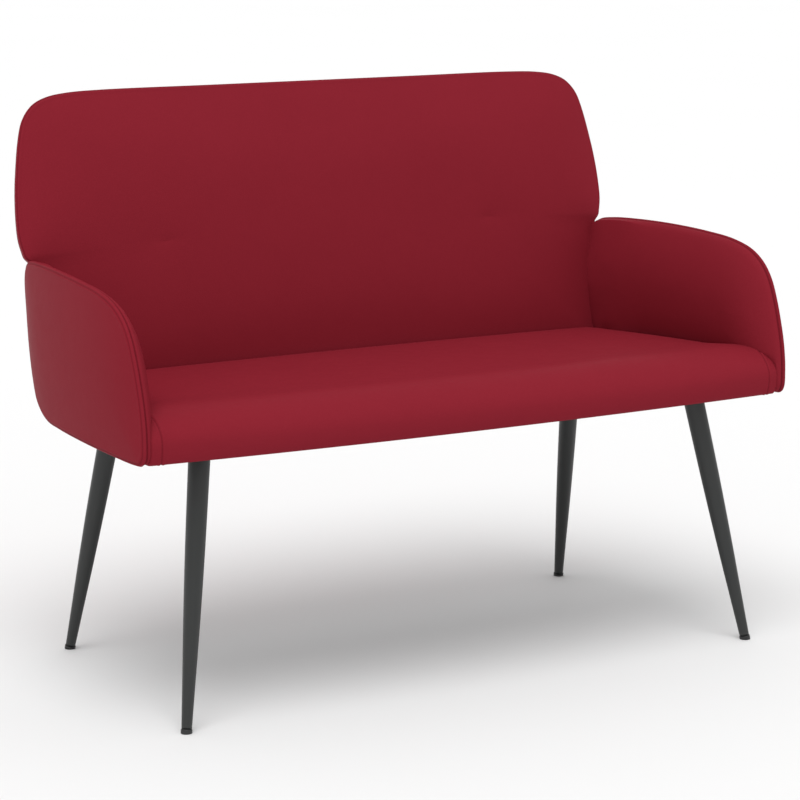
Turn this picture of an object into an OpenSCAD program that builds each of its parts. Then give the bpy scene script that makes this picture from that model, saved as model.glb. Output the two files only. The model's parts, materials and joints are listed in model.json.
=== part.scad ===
// Two-seat sofa: a crowned seat, a raked back and two bowed arms on four splayed steel legs.
// X runs across the sofa, Y from its front to its rear, Z up. The floor is z = 0, the front faces -Y.

/* [Overall] */
// Width between the outer seams of the two arms at their widest
overall_w = 1076; // [960:1:1300]
// Depth from the front of the seat to the rear of the back's top edge
overall_d = 549; // [520:1:640]
// Height of the back's top seam above the floor
back_top_z = 838; // [780:1:920]
// Height of the arms' top seam above the floor
arm_top_z = 603; // [570:1:650]
// Height of the underside of the seat, the arms and the cloth above the floor
underside_z = 380; // [340:1:420]

/* [Seat] */
// Height of the seat's top above the floor, at the front and in the middle of the width
seat_front_z = 449; // [440:1:470]
// Height of the seat's top above the floor, at the rear and in the middle of the width
seat_rear_z = 432; // [420:1:445]
// How much lower the seat's top is at its ends than in the middle
seat_crown = 4; // [2:0.5:12]
// How far the front edge bows forward in the middle
seat_bow = 19; // [5:1:30]
// How far back from its most forward line the front edge rolls
seat_roll_d = 62; // [30:1:80]
// Height of the front edge's most forward line above the underside
seat_nose_h = 26; // [16:1:34]
// How far back the front edge tucks in below its most forward line
seat_tuck_d = 12; // [4:1:20]
// How far the front edge's padding hangs below the underside
seat_lip = 2.5; // [0:0.5:3.5]
// Radius of the rolled rear edge
seat_rear_roll = 9; // [5:0.5:12]
// Radius of the rounded ends
seat_end_round = 12; // [6:1:18]
// Thickness of the seat cover with its wadding
seat_cover_t = 6; // [4:0.5:8]
// Thickness of the seat board
seat_board_t = 18; // [15:1:21]
// Thickness of the dust cloth
dust_cloth_t = 0.8; // [0.5:0.1:1.5]
// Width of the seat cover's underside that the dust cloth leaves bare
dust_cloth_margin = 12; // [6:1:24]
// Gap between the seat's ends and the arms
seat_side_gap = 0.6; // [0.3:0.1:3]

/* [Back] */
// Lean of the back from upright, in degrees
back_rake = 12.2; // [8:0.1:16]
// Width of the back above the arms, seam to seam
back_w = 1021; // [920:1:1040]
// Height of the back's lower edge above the floor
back_base_z = 385; // [382:1:400]
// Distance between the back's front and rear seams
back_edge_t = 20; // [20:0.5:26]
// How far inside the front seam the rear seam lies on every side
back_edge_taper = 5; // [0:0.5:10]
// Height of the pillow on the back's front
back_pillow = 17; // [14:1:26]
// Height of the pillow on the back's rear
back_rear_pillow = 5; // [3:0.5:10]
// How far ahead of the front seam the seat meets the back
back_press = 8; // [5:0.5:11]
// Thickness of the back board
back_board_t = 12; // [9:1:13]
// Thickness of the back's foam slab
back_foam_t = 12; // [9:0.5:13]
// Width that the back's cover and wadding take at the board's edge
back_wall_t = 8; // [7:0.5:12]
// Gap between the back's sides and the arms' pillows
back_side_gap = 1.5; // [1:0.5:6]

/* [Arms] */
// Distance from the seat's front back to the arms' front edge
arm_setback = 18; // [10:1:40]
// Distance from the seat's front back to where the arms are widest apart
arm_widest_setback = 110; // [60:1:200]
// Radius of the arms' bow in plan
arm_bow_r = 2030; // [1600:10:4000]
// Distance between an arm's outer and inner seams
arm_edge_t = 17; // [17:0.5:24]
// Height of the pillow on an arm's inner face
arm_pillow = 28; // [22:1:34]
// Height of the pillow on an arm's outer face
arm_outer_pillow = 6; // [4:0.5:12]
// Thickness of an arm board
arm_board_t = 12; // [9:1:12]
// Thickness of an arm's foam pad
arm_foam_t = 18; // [12:1:20]
// Width that an arm's cover and wadding take at the board's edge
arm_wall_t = 5; // [4:0.5:8]

/* [Legs] */
// Diameter of a leg at its top
leg_top_d = 31; // [26:0.5:36]
// Wall of the leg tube
leg_wall = 1.5; // [1:0.1:2.5]
// Distance from the arms' outer seam in to a front leg's top
front_leg_inset_x = 122; // [100:1:160]
// Distance from the seat's front back to a front leg's top
front_leg_inset_y = 90; // [75:1:130]
// Distance from the arms' outer seam in to a rear leg's top
rear_leg_inset_x = 135; // [110:1:170]
// Distance from the seat's rear edge forward to a rear leg's top
rear_leg_inset_y = 20; // [19:1:50]
// How far a front leg's foot stands outside its top
front_splay_x = 59; // [0:1:80]
// How far a front leg's foot stands ahead of its top
front_splay_y = 68; // [0:1:90]
// How far a rear leg's foot stands outside its top
rear_splay_x = 39; // [0:1:80]
// How far a rear leg's foot stands behind its top
rear_splay_y = 91; // [0:1:110]
// Length of a glide below the tube's end
glide_l = 5; // [3:0.5:8]
// How far a glide's lip stands out past the tube
glide_lip = 0.8; // [0.4:0.1:1.5]
// Length of a glide's stem in the tube
glide_stem_l = 14; // [8:1:24]

/* [Plates and brackets] */
// Side of a leg's square mounting plate
plate_w = 60; // [56:1:66]
// Corner radius of a mounting plate
plate_r = 8; // [4:1:12]
// Thickness of plates and brackets
plate_t = 4; // [3:0.5:5]
// Spacing of a mounting plate's bolts
plate_pitch = 42; // [40:1:43]
// How far a rear plate sits ahead of its leg
rear_plate_shift = 13.5; // [13:0.5:15]
// Width of a bracket
bracket_w = 44; // [36:1:60]
// Distance from the middle of the sofa out to a back bracket
back_bracket_x = 250; // [150:5:330]
// Length of a bracket's foot under the seat
bracket_foot_l = 72; // [64:1:84]
// Height of a back bracket's upright
back_bracket_h = 140; // [110:5:170]
// Height of an arm bracket's upright
arm_bracket_h = 58; // [52:1:70]
// Height above the underside of the angles between the back and the arms
tie_rise = 118; // [100:1:130]
// Length of an angle's leg across the back board
tie_back_l = 72; // [64:1:84]
// Length of an angle's leg along an arm board
tie_arm_l = 44; // [40:1:52]
// Thickness of an angle
tie_t = 3; // [2.5:0.5:3]

/* [Fasteners] */
// Diameter of a leg bolt's shank
bolt_d = 6; // [5:1:6]
// Diameter of a leg bolt's head
bolt_head_d = 10; // [9:0.5:11]
// Height of a leg bolt's head
bolt_head_h = 3; // [2.5:0.5:3]
// Outer diameter of the threaded inserts for the leg bolts
insert_d = 9; // [8.5:0.5:10]
// Length of the threaded inserts
insert_l = 14; // [10:1:14]
// Diameter of a bracket screw's shank
screw_d = 4.5; // [3.5:0.5:5]
// Diameter of a bracket screw's head
screw_head_d = 9; // [8:0.5:10]
// Height of a bracket screw's head
screw_head_h = 2.4; // [2:0.1:2.8]
// How deep a bracket screw reaches into its board
screw_reach = 8; // [6:0.5:8]

/* [Hidden] */

// Facets of small round pieces
$fn = 14;
// Facets of the arms' large bow, and its chords along an arm
bow_fn = 360;
bow_chords = 14;
// Clearance of a soft piece round what it holds
fit_gap = 0.3;
// Clearance of a fastener in its hole, and of a flat plate on a bowed board
close_gap = 0.1;
// How far a cut runs past the faces that it opens
overrun = 2;
// Colours
leather = [0.50, 0.12, 0.16];
steel_black = [0.17, 0.18, 0.17];
zinc = [0.70, 0.71, 0.72];
ply = [0.78, 0.62, 0.42];
foam = [0.93, 0.89, 0.76];
cloth_black = [0.09, 0.09, 0.10];

// Half the width at the arms' outer seam
arm_half = overall_w / 2;
// Front and rear of the sofa
front_y = -overall_d / 2;
rear_y = overall_d / 2;
// How far the back's edge puffs out between its seams, as a share of its thickness
puff_share = 0.11;
back_puff = back_edge_t * puff_share;
arm_puff = arm_edge_t * puff_share;
// Front seam of the back at the back's top
back_top_y = rear_y - back_edge_t * cos(back_rake);
back_half = back_w / 2;
back_len = (back_top_z - back_base_z) / cos(back_rake);
notch_w = (arm_top_z - back_base_z) / cos(back_rake);
arm_front_y = front_y + arm_setback;
arm_h = arm_top_z - underside_z;
bow_x = arm_half - arm_bow_r;
bow_y = front_y + arm_widest_setback;
seat_rear_low_y = seat_rear_y(underside_z);
seat_end_front_y = front_y + seat_bow;
// Share of the arm's pillow that the seat's rear corners press against
side_press_share = 0.93;
seat_front_half = arm_x(seat_end_front_y, arm_edge_t) - seat_side_gap;
seat_rear_half = arm_x(seat_rear_low_y, arm_edge_t + arm_pillow * side_press_share) - seat_side_gap;
// Lower half width of the back, between the arms' pillows
back_low_half = seat_rear_half - back_side_gap;
// Undersides of the plates and of the cloth
plate_low_z = underside_z - plate_t;
cloth_low_z = underside_z - dust_cloth_t;
// Depth of the arm board under the outer seam's surface
arm_board_n = (arm_edge_t - arm_board_t) / 2;
arm_foam_n = arm_board_n + arm_board_t;
// Depth of the back board behind the front seam's plane
back_board_n = (back_edge_t - back_board_t) / 2;

// Crown of the back's pillow, from its edge (1) to its middle (0)
back_ring_shares = [1, 0.985, 0.955, 0.905, 0.82, 0.66, 0.35];
back_rear_ring_shares = [1, 0.96, 0.85, 0.55];
// Crown of an arm's pillow, from its edge (1) to its middle (0)
arm_ring_shares = [1, 0.975, 0.93, 0.86, 0.75, 0.6, 0.3];
arm_outer_ring_shares = [1, 0.95, 0.83, 0.5];
// Powers that shape the pillows' rolls
back_roll_power = 9;
back_rise_power = 0.6;
arm_roll_power = 4;
arm_rise_power = 0.62;
// How much of each outline the pillow's middle line keeps
spine_share = 0.56;
// Half outline of the back, from the middle of its lower edge round to the middle of its top edge:
// shares of the upper half width, of the lower half width, of the height to the notch and of the rest
back_outline_shares = [
    [0, 0, 0, 0], [0, 0.45, 0, 0], [0, 0.86, 0, 0], [0, 0.97, 0.008, 0], [0, 1, 0.04, 0], [0, 1.016, 0.12, 0],
    [0, 1.016, 0.24, 0], [0, 1.004, 0.45, 0], [0, 1, 0.76, 0], [0.1, 0.9, 0.87, 0], [0.36, 0.64, 0.92, 0],
    [0.64, 0.36, 0.962, 0], [0.83, 0.17, 1, 0], [0.992, 0, 1, 0.036], [0.999, 0, 1, 0.11], [1, 0, 1, 0.22],
    [0.994, 0, 1, 0.4], [0.982, 0, 1, 0.57], [0.968, 0, 1, 0.72], [0.953, 0, 1, 0.825], [0.935, 0, 1, 0.885],
    [0.91, 0, 1, 0.933], [0.868, 0, 1, 0.97], [0.805, 0, 1, 0.991], [0.7, 0, 1, 1], [0.34, 0, 1, 1],
    [0, 0, 1, 1]];
// Outline of an arm, from the front of its lower edge round over its top: shares of its length and height
arm_outline_shares = [
    [0.06, 0], [0.018, 0.011], [0.003, 0.05], [0, 0.135], [0.003, 0.235], [0.013, 0.35], [0.031, 0.48],
    [0.053, 0.61], [0.082, 0.74], [0.119, 0.835], [0.181, 0.915], [0.28, 0.966], [0.42, 0.989], [0.6, 1],
    [0.77, 0.995], [0.88, 0.978], [0.932, 0.945], [0.972, 0.885], [0.995, 0.805], [1, 0.69], [1, 0.45],
    [0.99, 0.31], [0.974, 0.2], [0.944, 0.09], [0.9, 0.04], [0.83, 0.005], [0.7, 0], [0.48, 0], [0.26, 0]];
// Lower front of the seat's section from the flat underside up: shares of its depth, height and lip
seat_tuck_shares = [[1.35, 0, 0], [0.9, 0, 1], [0.45, 0.12, 0.8], [0.13, 0.5, 0.2], [0, 1, 0]];
// Height of the front edge's most forward line as a share of the seat's thickness there
seat_nose_share = seat_nose_h / (seat_front_z - underside_z);
// Places along the seat's top from its front roll to its rear roll
seat_top_shares = [0, 0.12, 0.3, 0.5, 0.7, 0.88, 1];
// Rise of the seat's top between its rolls, as a share of its crown
seat_swell_share = 0.5;
// Places across the seat from its middle to where its rounded end starts, and through that round
seat_column_shares = [0, 0.22, 0.43, 0.62, 0.78, 0.9, 0.97, 1];
seat_end_shares = [0.35, 0.65, 0.87, 1];
// Leg diameters up the tube: share of the length, share of the top diameter
leg_profile_shares = [[0, 0.47], [0.16, 0.59], [0.38, 0.76], [0.64, 0.90], [1, 1]];

// Point between a and b
function lerp(a, b, t) = a + (b - a) * t;
// List read from its end
function reversed(list) = [for (i = [len(list) - 1 : -1 : 0]) list[i]];
// Height of a pillow at share t of the way from its middle line to its edge
function crown(t, roll, rise) = pow(1 - pow(t, roll), rise);
// Y of the back's front seam plane at height z
function back_face_y(z) = back_top_y - (back_top_z - z) * tan(back_rake);
// Y of the seat's rear face at height z
function seat_rear_y(z) = back_face_y(z) - (back_press + fit_gap) / cos(back_rake);
// X of the surface that lies n inside an arm's outer seam, at depth y
function arm_x(y, n) = bow_x + sqrt(pow(arm_bow_r - n, 2) - pow(y - bow_y, 2));
// Half width of the seat at depth y
function seat_side_x(y) =
    lerp(seat_front_half, seat_rear_half, (y - seat_end_front_y) / (seat_rear_low_y - seat_end_front_y));
// Rear edge of the arms, flush with the back's rear seam
function arm_rear_y(z) = back_face_y(z) + back_edge_t / cos(back_rake);

// Half outline point of the back in its own plane
function back_point(p) =
    [p[0] * back_half + p[1] * back_low_half, p[2] * notch_w + p[3] * (back_len - notch_w)];
back_half_outline = [for (p = back_outline_shares) back_point(p)];
back_outline = concat(back_half_outline,
    [for (i = [len(back_half_outline) - 2 : -1 : 1]) [-back_half_outline[i][0], back_half_outline[i][1]]]);
back_mid_w = back_len / 2;
// Middle of an arm in depth and height
arm_mid_z = underside_z + arm_h / 2;
arm_mid_y = (arm_front_y + arm_rear_y(arm_mid_z)) / 2;
arm_len = arm_rear_y(arm_mid_z) - arm_front_y;
function arm_outline_point(p) =
    let (z = underside_z + p[1] * arm_h) [lerp(arm_front_y, arm_rear_y(z), p[0]), z];
arm_outline = [for (p = arm_outline_shares) arm_outline_point(p)];

// Outline drawn in by about d on every side, as a scaled copy about its middle
function drawn_in(outline, mid, half_size, d) =
    [for (p = outline) [mid[0] + (p[0] - mid[0]) * (1 - d / half_size[0]),
        mid[1] + (p[1] - mid[1]) * (1 - d / half_size[1])]];
function back_drawn_in(d) = drawn_in(back_outline, [0, back_mid_w], [back_low_half, back_len / 2], d);
function arm_drawn_in(d) = drawn_in(arm_outline, [arm_mid_y, arm_mid_z], [arm_len / 2, arm_h / 2], d);

// One ring of a pad: outline point p drawn to share t of its way from the pad's middle line
function ring_point(p, mid, t) =
    let (s = [mid[0] + (p[0] - mid[0]) * spine_share, mid[1]]) [lerp(s[0], p[0], t), lerp(s[1], p[1], t)];
// Share that puffs a ring out by d at the height half_h
function puffed(d, half_h) = 1 + d / half_h;

// Closed skin through a list of rings of equally many points, with a fan to a tip at each end
module skin(rings, tips) {
    n = len(rings[0]);
    m = len(rings);
    points = concat([for (ring = rings) each ring], tips);
    sides = [for (j = [0 : m - 2], i = [0 : n - 1]) each [
        [j * n + i, j * n + (i + 1) % n, (j + 1) * n + (i + 1) % n],
        [j * n + i, (j + 1) * n + (i + 1) % n, (j + 1) * n + i]]];
    first = [for (i = [0 : n - 1]) [n * m, (i + 1) % n, i]];
    last = [for (i = [0 : n - 1]) [n * m + 1, (m - 1) * n + i, (m - 1) * n + (i + 1) % n]];
    polyhedron(points = points, faces = concat(sides, first, last));
}
// Mean point of a ring
function centre(ring) = [for (p = ring) 1] * ring / len(ring);

// Seat

// Front roll from its nose up, without its last point: a quarter of an ellipse
function seat_roll_points(y, z, top, d) =
    [for (a = [75 : -15 : 15]) [y + d * (1 - sin(a)), z + (top - z) * cos(a)]];
// Section of the seat at share u of its half width
function seat_ring(u) =
    let (end_share = seat_end_round / seat_rear_half,
        k = max(0, (abs(u) - 1 + end_share) / end_share),
        inset = seat_end_round * (1 - sqrt(max(0, 1 - k * k))),
        y_front = front_y + seat_bow * u * u + inset,
        top_front = seat_front_z - seat_crown * u * u - inset,
        top_rear = seat_rear_z - seat_crown * u * u - inset,
        nose_z = lerp(underside_z, top_front, seat_nose_share),
        tuck = [for (p = seat_tuck_shares)
            [y_front + p[0] * seat_tuck_d, lerp(underside_z, nose_z, p[1]) - p[2] * seat_lip]],
        roll = seat_roll_points(y_front, nose_z, top_front, seat_roll_d),
        y0 = y_front + seat_roll_d,
        y1 = seat_rear_y(top_rear) - seat_rear_roll,
        top = [for (s = seat_top_shares) [lerp(y0, y1, s),
            lerp(top_front, top_rear, s) + 4 * seat_swell_share * seat_crown * s * (1 - s)]],
        rear_roll = [for (a = [60 : -30 : 0]) let (z = top_rear - seat_rear_roll + seat_rear_roll * sin(a))
            [seat_rear_y(z) - seat_rear_roll + seat_rear_roll * cos(a), z]],
        loop = concat(tuck, roll, top, rear_roll, [[seat_rear_low_y, underside_z]]))
    [for (p = loop) [u * seat_side_x(p[0]), p[0], p[1]]];
seat_body_shares = [for (s = seat_column_shares) s * (1 - seat_end_round / seat_rear_half)];
seat_round_shares = [for (s = seat_end_shares) 1 - (1 - s) * seat_end_round / seat_rear_half];
seat_half_columns = concat(seat_body_shares, seat_round_shares);
seat_columns = concat([for (u = reversed(seat_half_columns)) -u],
    [for (i = [1 : len(seat_half_columns) - 1]) seat_half_columns[i]]);

// Plan of the seat, drawn in by d on its front, rear and ends
module seat_plan(d, z0, z1) {
    y0 = seat_end_front_y + seat_tuck_d + d;
    y1 = seat_rear_low_y - d;
    translate([0, 0, z0]) linear_extrude(z1 - z0)
        polygon([[-seat_side_x(y0) + d, y0], [seat_side_x(y0) - d, y0],
            [seat_side_x(y1) - d, y1], [-seat_side_x(y1) + d, y1]]);
}

// Board and foam of the seat together, larger by g all round
seat_end_wall = seat_cover_t + seat_end_round / 4;
module seat_core(g) {
    wall = seat_cover_t - g;
    y0 = seat_end_front_y + wall;
    nose_z = underside_z + seat_nose_h;
    top_front = seat_front_z - seat_crown - wall;
    top_rear = seat_rear_z - seat_crown - wall;
    profile = concat([[y0 + seat_tuck_d, underside_z], [y0, nose_z]],
        seat_roll_points(y0, nose_z, top_front, seat_roll_d), [[y0 + seat_roll_d, top_front]],
        [[seat_rear_y(top_rear) - wall, top_rear], [seat_rear_low_y - wall, underside_z]]);
    intersection() {
        rotate([90, 0, 90]) translate([0, 0, -arm_half]) linear_extrude(2 * arm_half) polygon(profile);
        seat_plan_ends(g);
    }
}
module seat_plan_ends(g) {
    d = seat_end_wall - g;
    y0 = seat_end_front_y;
    y1 = rear_y;
    linear_extrude(seat_front_z)
        polygon([[-seat_side_x(y0) + d, y0], [seat_side_x(y0) - d, y0],
            [seat_side_x(y1) - d, y1], [-seat_side_x(y1) + d, y1]]);
}
// Part of the sofa's space between two heights
module level(z0, z1) {
    translate([-arm_half, front_y, z0]) cube([2 * arm_half, overall_d, z1 - z0]);
}

// Places of the leg bolts and of the screws in the brackets' feet, all in the seat board
leg_tops = [[-1, 1], [1, 1], [-1, -1], [1, -1]];
function leg_top(s) = s[1] > 0
    ? [s[0] * (arm_half - front_leg_inset_x), front_y + front_leg_inset_y]
    : [s[0] * (arm_half - rear_leg_inset_x), seat_rear_low_y - rear_leg_inset_y];
function plate_centre(s) = leg_top(s) - [0, s[1] > 0 ? 0 : rear_plate_shift];
leg_bolt_places = [for (s = leg_tops, i = [-1, 1], j = [-1, 1])
    plate_centre(s) + [i, j] * plate_pitch / 2];
// Distances of a back bracket foot's two screws, and of an arm bracket foot's screw, from the bend
foot_screw_shares = [0.45, 0.82];
arm_foot_screw_share = 0.78;
back_bend_y = back_face_y(plate_low_z);
back_bracket_xs = [-back_bracket_x, back_bracket_x];
back_foot_screws = [for (x = back_bracket_xs, s = foot_screw_shares) [x, back_bend_y - s * bracket_foot_l]];
// Places of the arm brackets along the arms, as shares of the seat's depth
arm_bracket_shares = [0.34, 0.7];
arm_bracket_ys = [for (s = arm_bracket_shares) lerp(front_y, seat_rear_low_y, s)];
// Height that the bow rises over a flat plate of width w
function bow_sag(w) = pow(w / 2, 2) / (2 * (arm_bow_r - arm_foam_n));
arm_bracket_n = arm_foam_n + close_gap + bow_sag(bracket_w) + plate_t;
function bow_angle(y) = asin((y - bow_y) / arm_bow_r);
arm_foot_screw_r = arm_bow_r - arm_bracket_n - bracket_foot_l * arm_foot_screw_share;
arm_foot_screws = [for (side = [-1, 1], y = arm_bracket_ys)
    [side * (bow_x + arm_foot_screw_r * cos(bow_angle(y))), bow_y + arm_foot_screw_r * sin(bow_angle(y))]];
foot_screws = concat(back_foot_screws, arm_foot_screws);

// Bolt or screw with its shank up from z = 0 by l and its head below
module fastener(d, head_d, head_h, l) {
    rotate_extrude() polygon([[0, -head_h], [head_d / 2, -head_h], [head_d / 2, 0],
        [d / 2, 0], [d / 2, l], [0, l]]);
}
module leg_bolt() { fastener(bolt_d, bolt_head_d, bolt_head_h, plate_t + insert_l); }
module screw(t) { fastener(screw_d, screw_head_d, screw_head_h, t + screw_reach); }
// Hole for a screw that enters a board at z = 0 and goes up
module screw_hole() {
    translate([0, 0, -overrun]) cylinder(h = screw_reach + fit_gap + overrun, d = screw_d + 2 * close_gap);
}
// Clearance hole, from z = 0 up, through a plate that is t thick
module plate_hole(t, d) {
    translate([0, 0, -overrun]) cylinder(h = t + 2 * overrun, d = d + 4 * close_gap);
}

module seat_board() {
    color(ply) difference() {
        intersection() {
            seat_core(0);
            level(underside_z, underside_z + seat_board_t);
        }
        for (p = leg_bolt_places)
            translate([p[0], p[1], underside_z]) plate_hole(seat_board_t, insert_d - 2 * close_gap);
        for (p = foot_screws) translate([p[0], p[1], underside_z]) screw_hole();
    }
}

module seat_foam() {
    color(foam) intersection() {
        seat_core(0);
        level(underside_z + seat_board_t, seat_front_z);
    }
}

module seat_cover() {
    color(leather) difference() {
        skin([for (u = seat_columns) seat_ring(u)], [for (u = [-1, 1]) centre(seat_ring(u))]);
        seat_core(fit_gap);
    }
}

// Black cloth under the seat, cut out round the plates and the brackets' feet
module seat_dust_cover() {
    color(cloth_black) difference() {
        seat_plan(dust_cloth_margin, cloth_low_z, underside_z);
        for (s = leg_tops) let (c = plate_centre(s), w = plate_w / 2 + fit_gap)
            translate([c[0] - w, c[1] - w, cloth_low_z - overrun]) cube([2 * w, 2 * w, 2 * overrun]);
        for (x = back_bracket_xs) let (w = bracket_w / 2 + fit_gap, l = bracket_foot_l + fit_gap)
            translate([x - w, back_bend_y - l, cloth_low_z - overrun]) cube([2 * w, 2 * l, 2 * overrun]);
        for (side = [0, 1], y = arm_bracket_ys) mirror([side, 0, 0]) on_arm(y, arm_bracket_n)
            let (w = bracket_w / 2 + fit_gap, l = bracket_foot_l + fit_gap)
            translate([-l, -w, cloth_low_z - overrun]) cube([l, 2 * w, 2 * overrun]);
    }
}

// Back

// Frame of the back's front seam plane: X across, Y into the back, Z up its slope
module on_back() {
    translate([0, back_face_y(back_base_z), back_base_z]) rotate([-back_rake, 0, 0]) children();
}
// Slab of the back from depth n0 to n1, drawn in by d
module back_slab(n0, n1, d) {
    on_back() translate([0, n1, 0]) rotate([90, 0, 0]) linear_extrude(n1 - n0) polygon(back_drawn_in(d));
}
// Box across the back: x0 to x1, depth n0 to n1, slope height w0 to w1
module back_box(x0, x1, n0, n1, w0, w1) {
    on_back() translate([x0, n0, w0]) cube([x1 - x0, n1 - n0, w1 - w0]);
}
back_rear_share = puffed(-back_edge_taper, back_len / 2);
back_rings = concat(
    [for (t = reversed(back_ring_shares)) [t, -back_pillow * crown(t, back_roll_power, back_rise_power)]],
    [[puffed(back_puff - back_edge_taper / 3, back_len / 2), back_edge_t / 2]],
    [for (t = back_rear_ring_shares) [t * back_rear_share,
        back_edge_t + back_rear_pillow * crown(t, back_roll_power, back_rise_power)]]);
back_foam_n0 = back_board_n - back_foam_t;
// Width that the foam slab stays inside the back's edge
back_foam_inset = 26;
// Slope heights of the screws in a back bracket's upright, as shares of the upright
back_screw_shares = [0.5, 0.85];
back_screw_ws = [for (s = back_screw_shares) s * back_bracket_h];
// Y and Z of the point at depth n and slope height w on the back
function back_yz(n, w) = [back_face_y(back_base_z) + n * cos(back_rake) + w * sin(back_rake),
    back_base_z - n * sin(back_rake) + w * cos(back_rake)];
// Angles between the back board's rear face and the arm boards' inner faces
back_rear_n = back_board_n + back_board_t;
tie_z = underside_z + tie_rise;
tie_w = (tie_z - back_base_z) / cos(back_rake);
tie_end_y = back_yz(back_rear_n + tie_t, tie_w + bracket_w / 2)[0];
tie_arm_y = tie_end_y - tie_arm_l / 2;
tie_arm_n = arm_foam_n + close_gap + bow_sag(tie_arm_l) + tie_t;
tie_end_x = arm_x(tie_end_y, tie_arm_n - tie_t / 2);
// Distance of the screw in an angle's back leg from the corner, as a share of the leg
tie_screw_share = 0.75;
tie_screw_x = tie_end_x - tie_back_l * tie_screw_share;

// Places children at the screws in the back board's front face, each with its z along the screw
module at_back_screws(n) {
    for (x = back_bracket_xs, w = back_screw_ws)
        on_back() translate([x, n, w]) rotate([-90, 0, 0]) children();
}
// Places children at the screws in the back board's rear face
module at_tie_screws(n) {
    for (side = [-1, 1]) on_back() translate([side * tie_screw_x, n, tie_w]) rotate([90, 0, 0]) children();
}

module back_board() {
    color(ply) difference() {
        back_slab(back_board_n, back_rear_n, back_wall_t);
        at_back_screws(back_board_n) screw_hole();
        at_tie_screws(back_rear_n) screw_hole();
    }
}

module back_foam() {
    color(foam) difference() {
        back_slab(back_foam_n0, back_board_n, back_foam_inset);
        back_bracket_pockets();
    }
}

// Room for the back brackets' uprights and screw heads, from below the back up
module back_bracket_pockets() {
    n0 = back_board_n - plate_t - screw_head_h - fit_gap;
    half_w = bracket_w / 2 + fit_gap;
    for (x = back_bracket_xs)
        back_box(x - half_w, x + half_w, n0, back_board_n + overrun, -back_pillow, back_bracket_h + fit_gap);
}
// Room for the angles that tie the back board to the arm boards
module tie_pockets() {
    n0 = back_rear_n - overrun;
    n1 = back_rear_n + tie_t + fit_gap;
    half_w = bracket_w / 2 + fit_gap;
    for (side = [0, 1]) mirror([side, 0, 0])
        back_box(tie_end_x - tie_back_l - fit_gap, arm_half, n0, n1, tie_w - half_w, tie_w + half_w);
    at_tie_screws(n1 + screw_head_h)
        cylinder(h = overrun + screw_head_h, d = screw_head_d + 2 * fit_gap);
}

module back_cover() {
    color(leather) difference() {
        on_back() skin([for (r = back_rings) [for (p = back_outline)
            let (q = ring_point(p, [0, back_mid_w], r[0])) [q[0], r[1], q[1]]]],
            [for (n = [-back_pillow, back_edge_t + back_rear_pillow]) [0, n, back_mid_w]]);
        back_slab(back_board_n - fit_gap, back_rear_n + fit_gap, back_wall_t - fit_gap);
        back_slab(back_foam_n0 - fit_gap, back_board_n, back_foam_inset - fit_gap);
        back_bracket_pockets();
        tie_pockets();
        back_box(-back_half, back_half, -back_pillow - overrun, -back_press, -back_edge_t,
            (seat_front_z - back_base_z) / cos(back_rake));
    }
}

// Arms, drawn at the right and mirrored for the left

// Places children on the right arm at depth y, n inside the outer seam, x out along the arm's normal
module on_arm(y, n) {
    translate([bow_x, bow_y, 0]) rotate([0, 0, bow_angle(y)]) translate([arm_bow_r - n, 0, 0]) children();
}
// Plan of the band between depths n0 and n1, as chords of the bow
function arm_arc(n) = [for (k = [0 : bow_chords]) let (a = bow_angle(lerp(front_y, rear_y, k / bow_chords)))
    [bow_x + (arm_bow_r - n) * cos(a), bow_y + (arm_bow_r - n) * sin(a)]];
module arm_band(n0, n1, d) {
    intersection() {
        linear_extrude(arm_top_z + overrun) polygon(concat(arm_arc(n0), reversed(arm_arc(n1))));
        rotate([90, 0, 90]) linear_extrude(arm_half + overrun) polygon(arm_drawn_in(d));
    }
}
// Slab of an arm from depth n0 to n1, drawn in by d
module arm_slab(n0, n1, d) {
    intersection() {
        translate([bow_x, bow_y, 0]) difference() {
            cylinder(h = arm_top_z + overrun, r = arm_bow_r - n0, $fn = bow_fn);
            translate([0, 0, -overrun])
                cylinder(h = arm_top_z + 3 * overrun, r = arm_bow_r - n1, $fn = bow_fn);
        }
        rotate([90, 0, 90]) linear_extrude(arm_half + overrun) polygon(arm_drawn_in(d));
    }
}
arm_rings = concat(
    [for (t = reversed(arm_ring_shares))
        [t, arm_edge_t + arm_pillow * crown(t, arm_roll_power, arm_rise_power)]],
    [[puffed(arm_puff, arm_h / 2), arm_edge_t / 2]],
    [for (t = arm_outer_ring_shares)
        [t, -arm_outer_pillow * crown(t, arm_roll_power, arm_rise_power)]]);
function arm_surface_point(p, n) =
    let (a = bow_angle(p[0])) [bow_x + (arm_bow_r - n) * cos(a), bow_y + (arm_bow_r - n) * sin(a), p[1]];
// Width that the foam pad stays inside the arm's edge
arm_foam_inset = 30;
// Height of the screw in an arm bracket's upright, as a share of the upright
arm_screw_share = 0.72;
arm_screw_z = plate_low_z + arm_screw_share * arm_bracket_h;

// Space of the seat between the arms, wider by g
module seat_space(g) {
    y0 = front_y;
    y1 = rear_y;
    linear_extrude(seat_front_z + g)
        polygon([[0, y0], [seat_side_x(y0) + g, y0], [seat_side_x(y1) + g, y1], [0, y1]]);
}
// Places children at the screws in the arm board's inner face, t in from it, z along the screw
module at_arm_screws(on_plates) {
    for (y = arm_bracket_ys) on_arm(y, on_plates ? arm_bracket_n : arm_foam_n)
        translate([0, 0, arm_screw_z]) rotate([0, 90, 0]) children();
    on_arm(tie_arm_y, on_plates ? tie_arm_n : arm_foam_n)
        translate([0, 0, tie_z]) rotate([0, 90, 0]) children();
}
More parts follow.
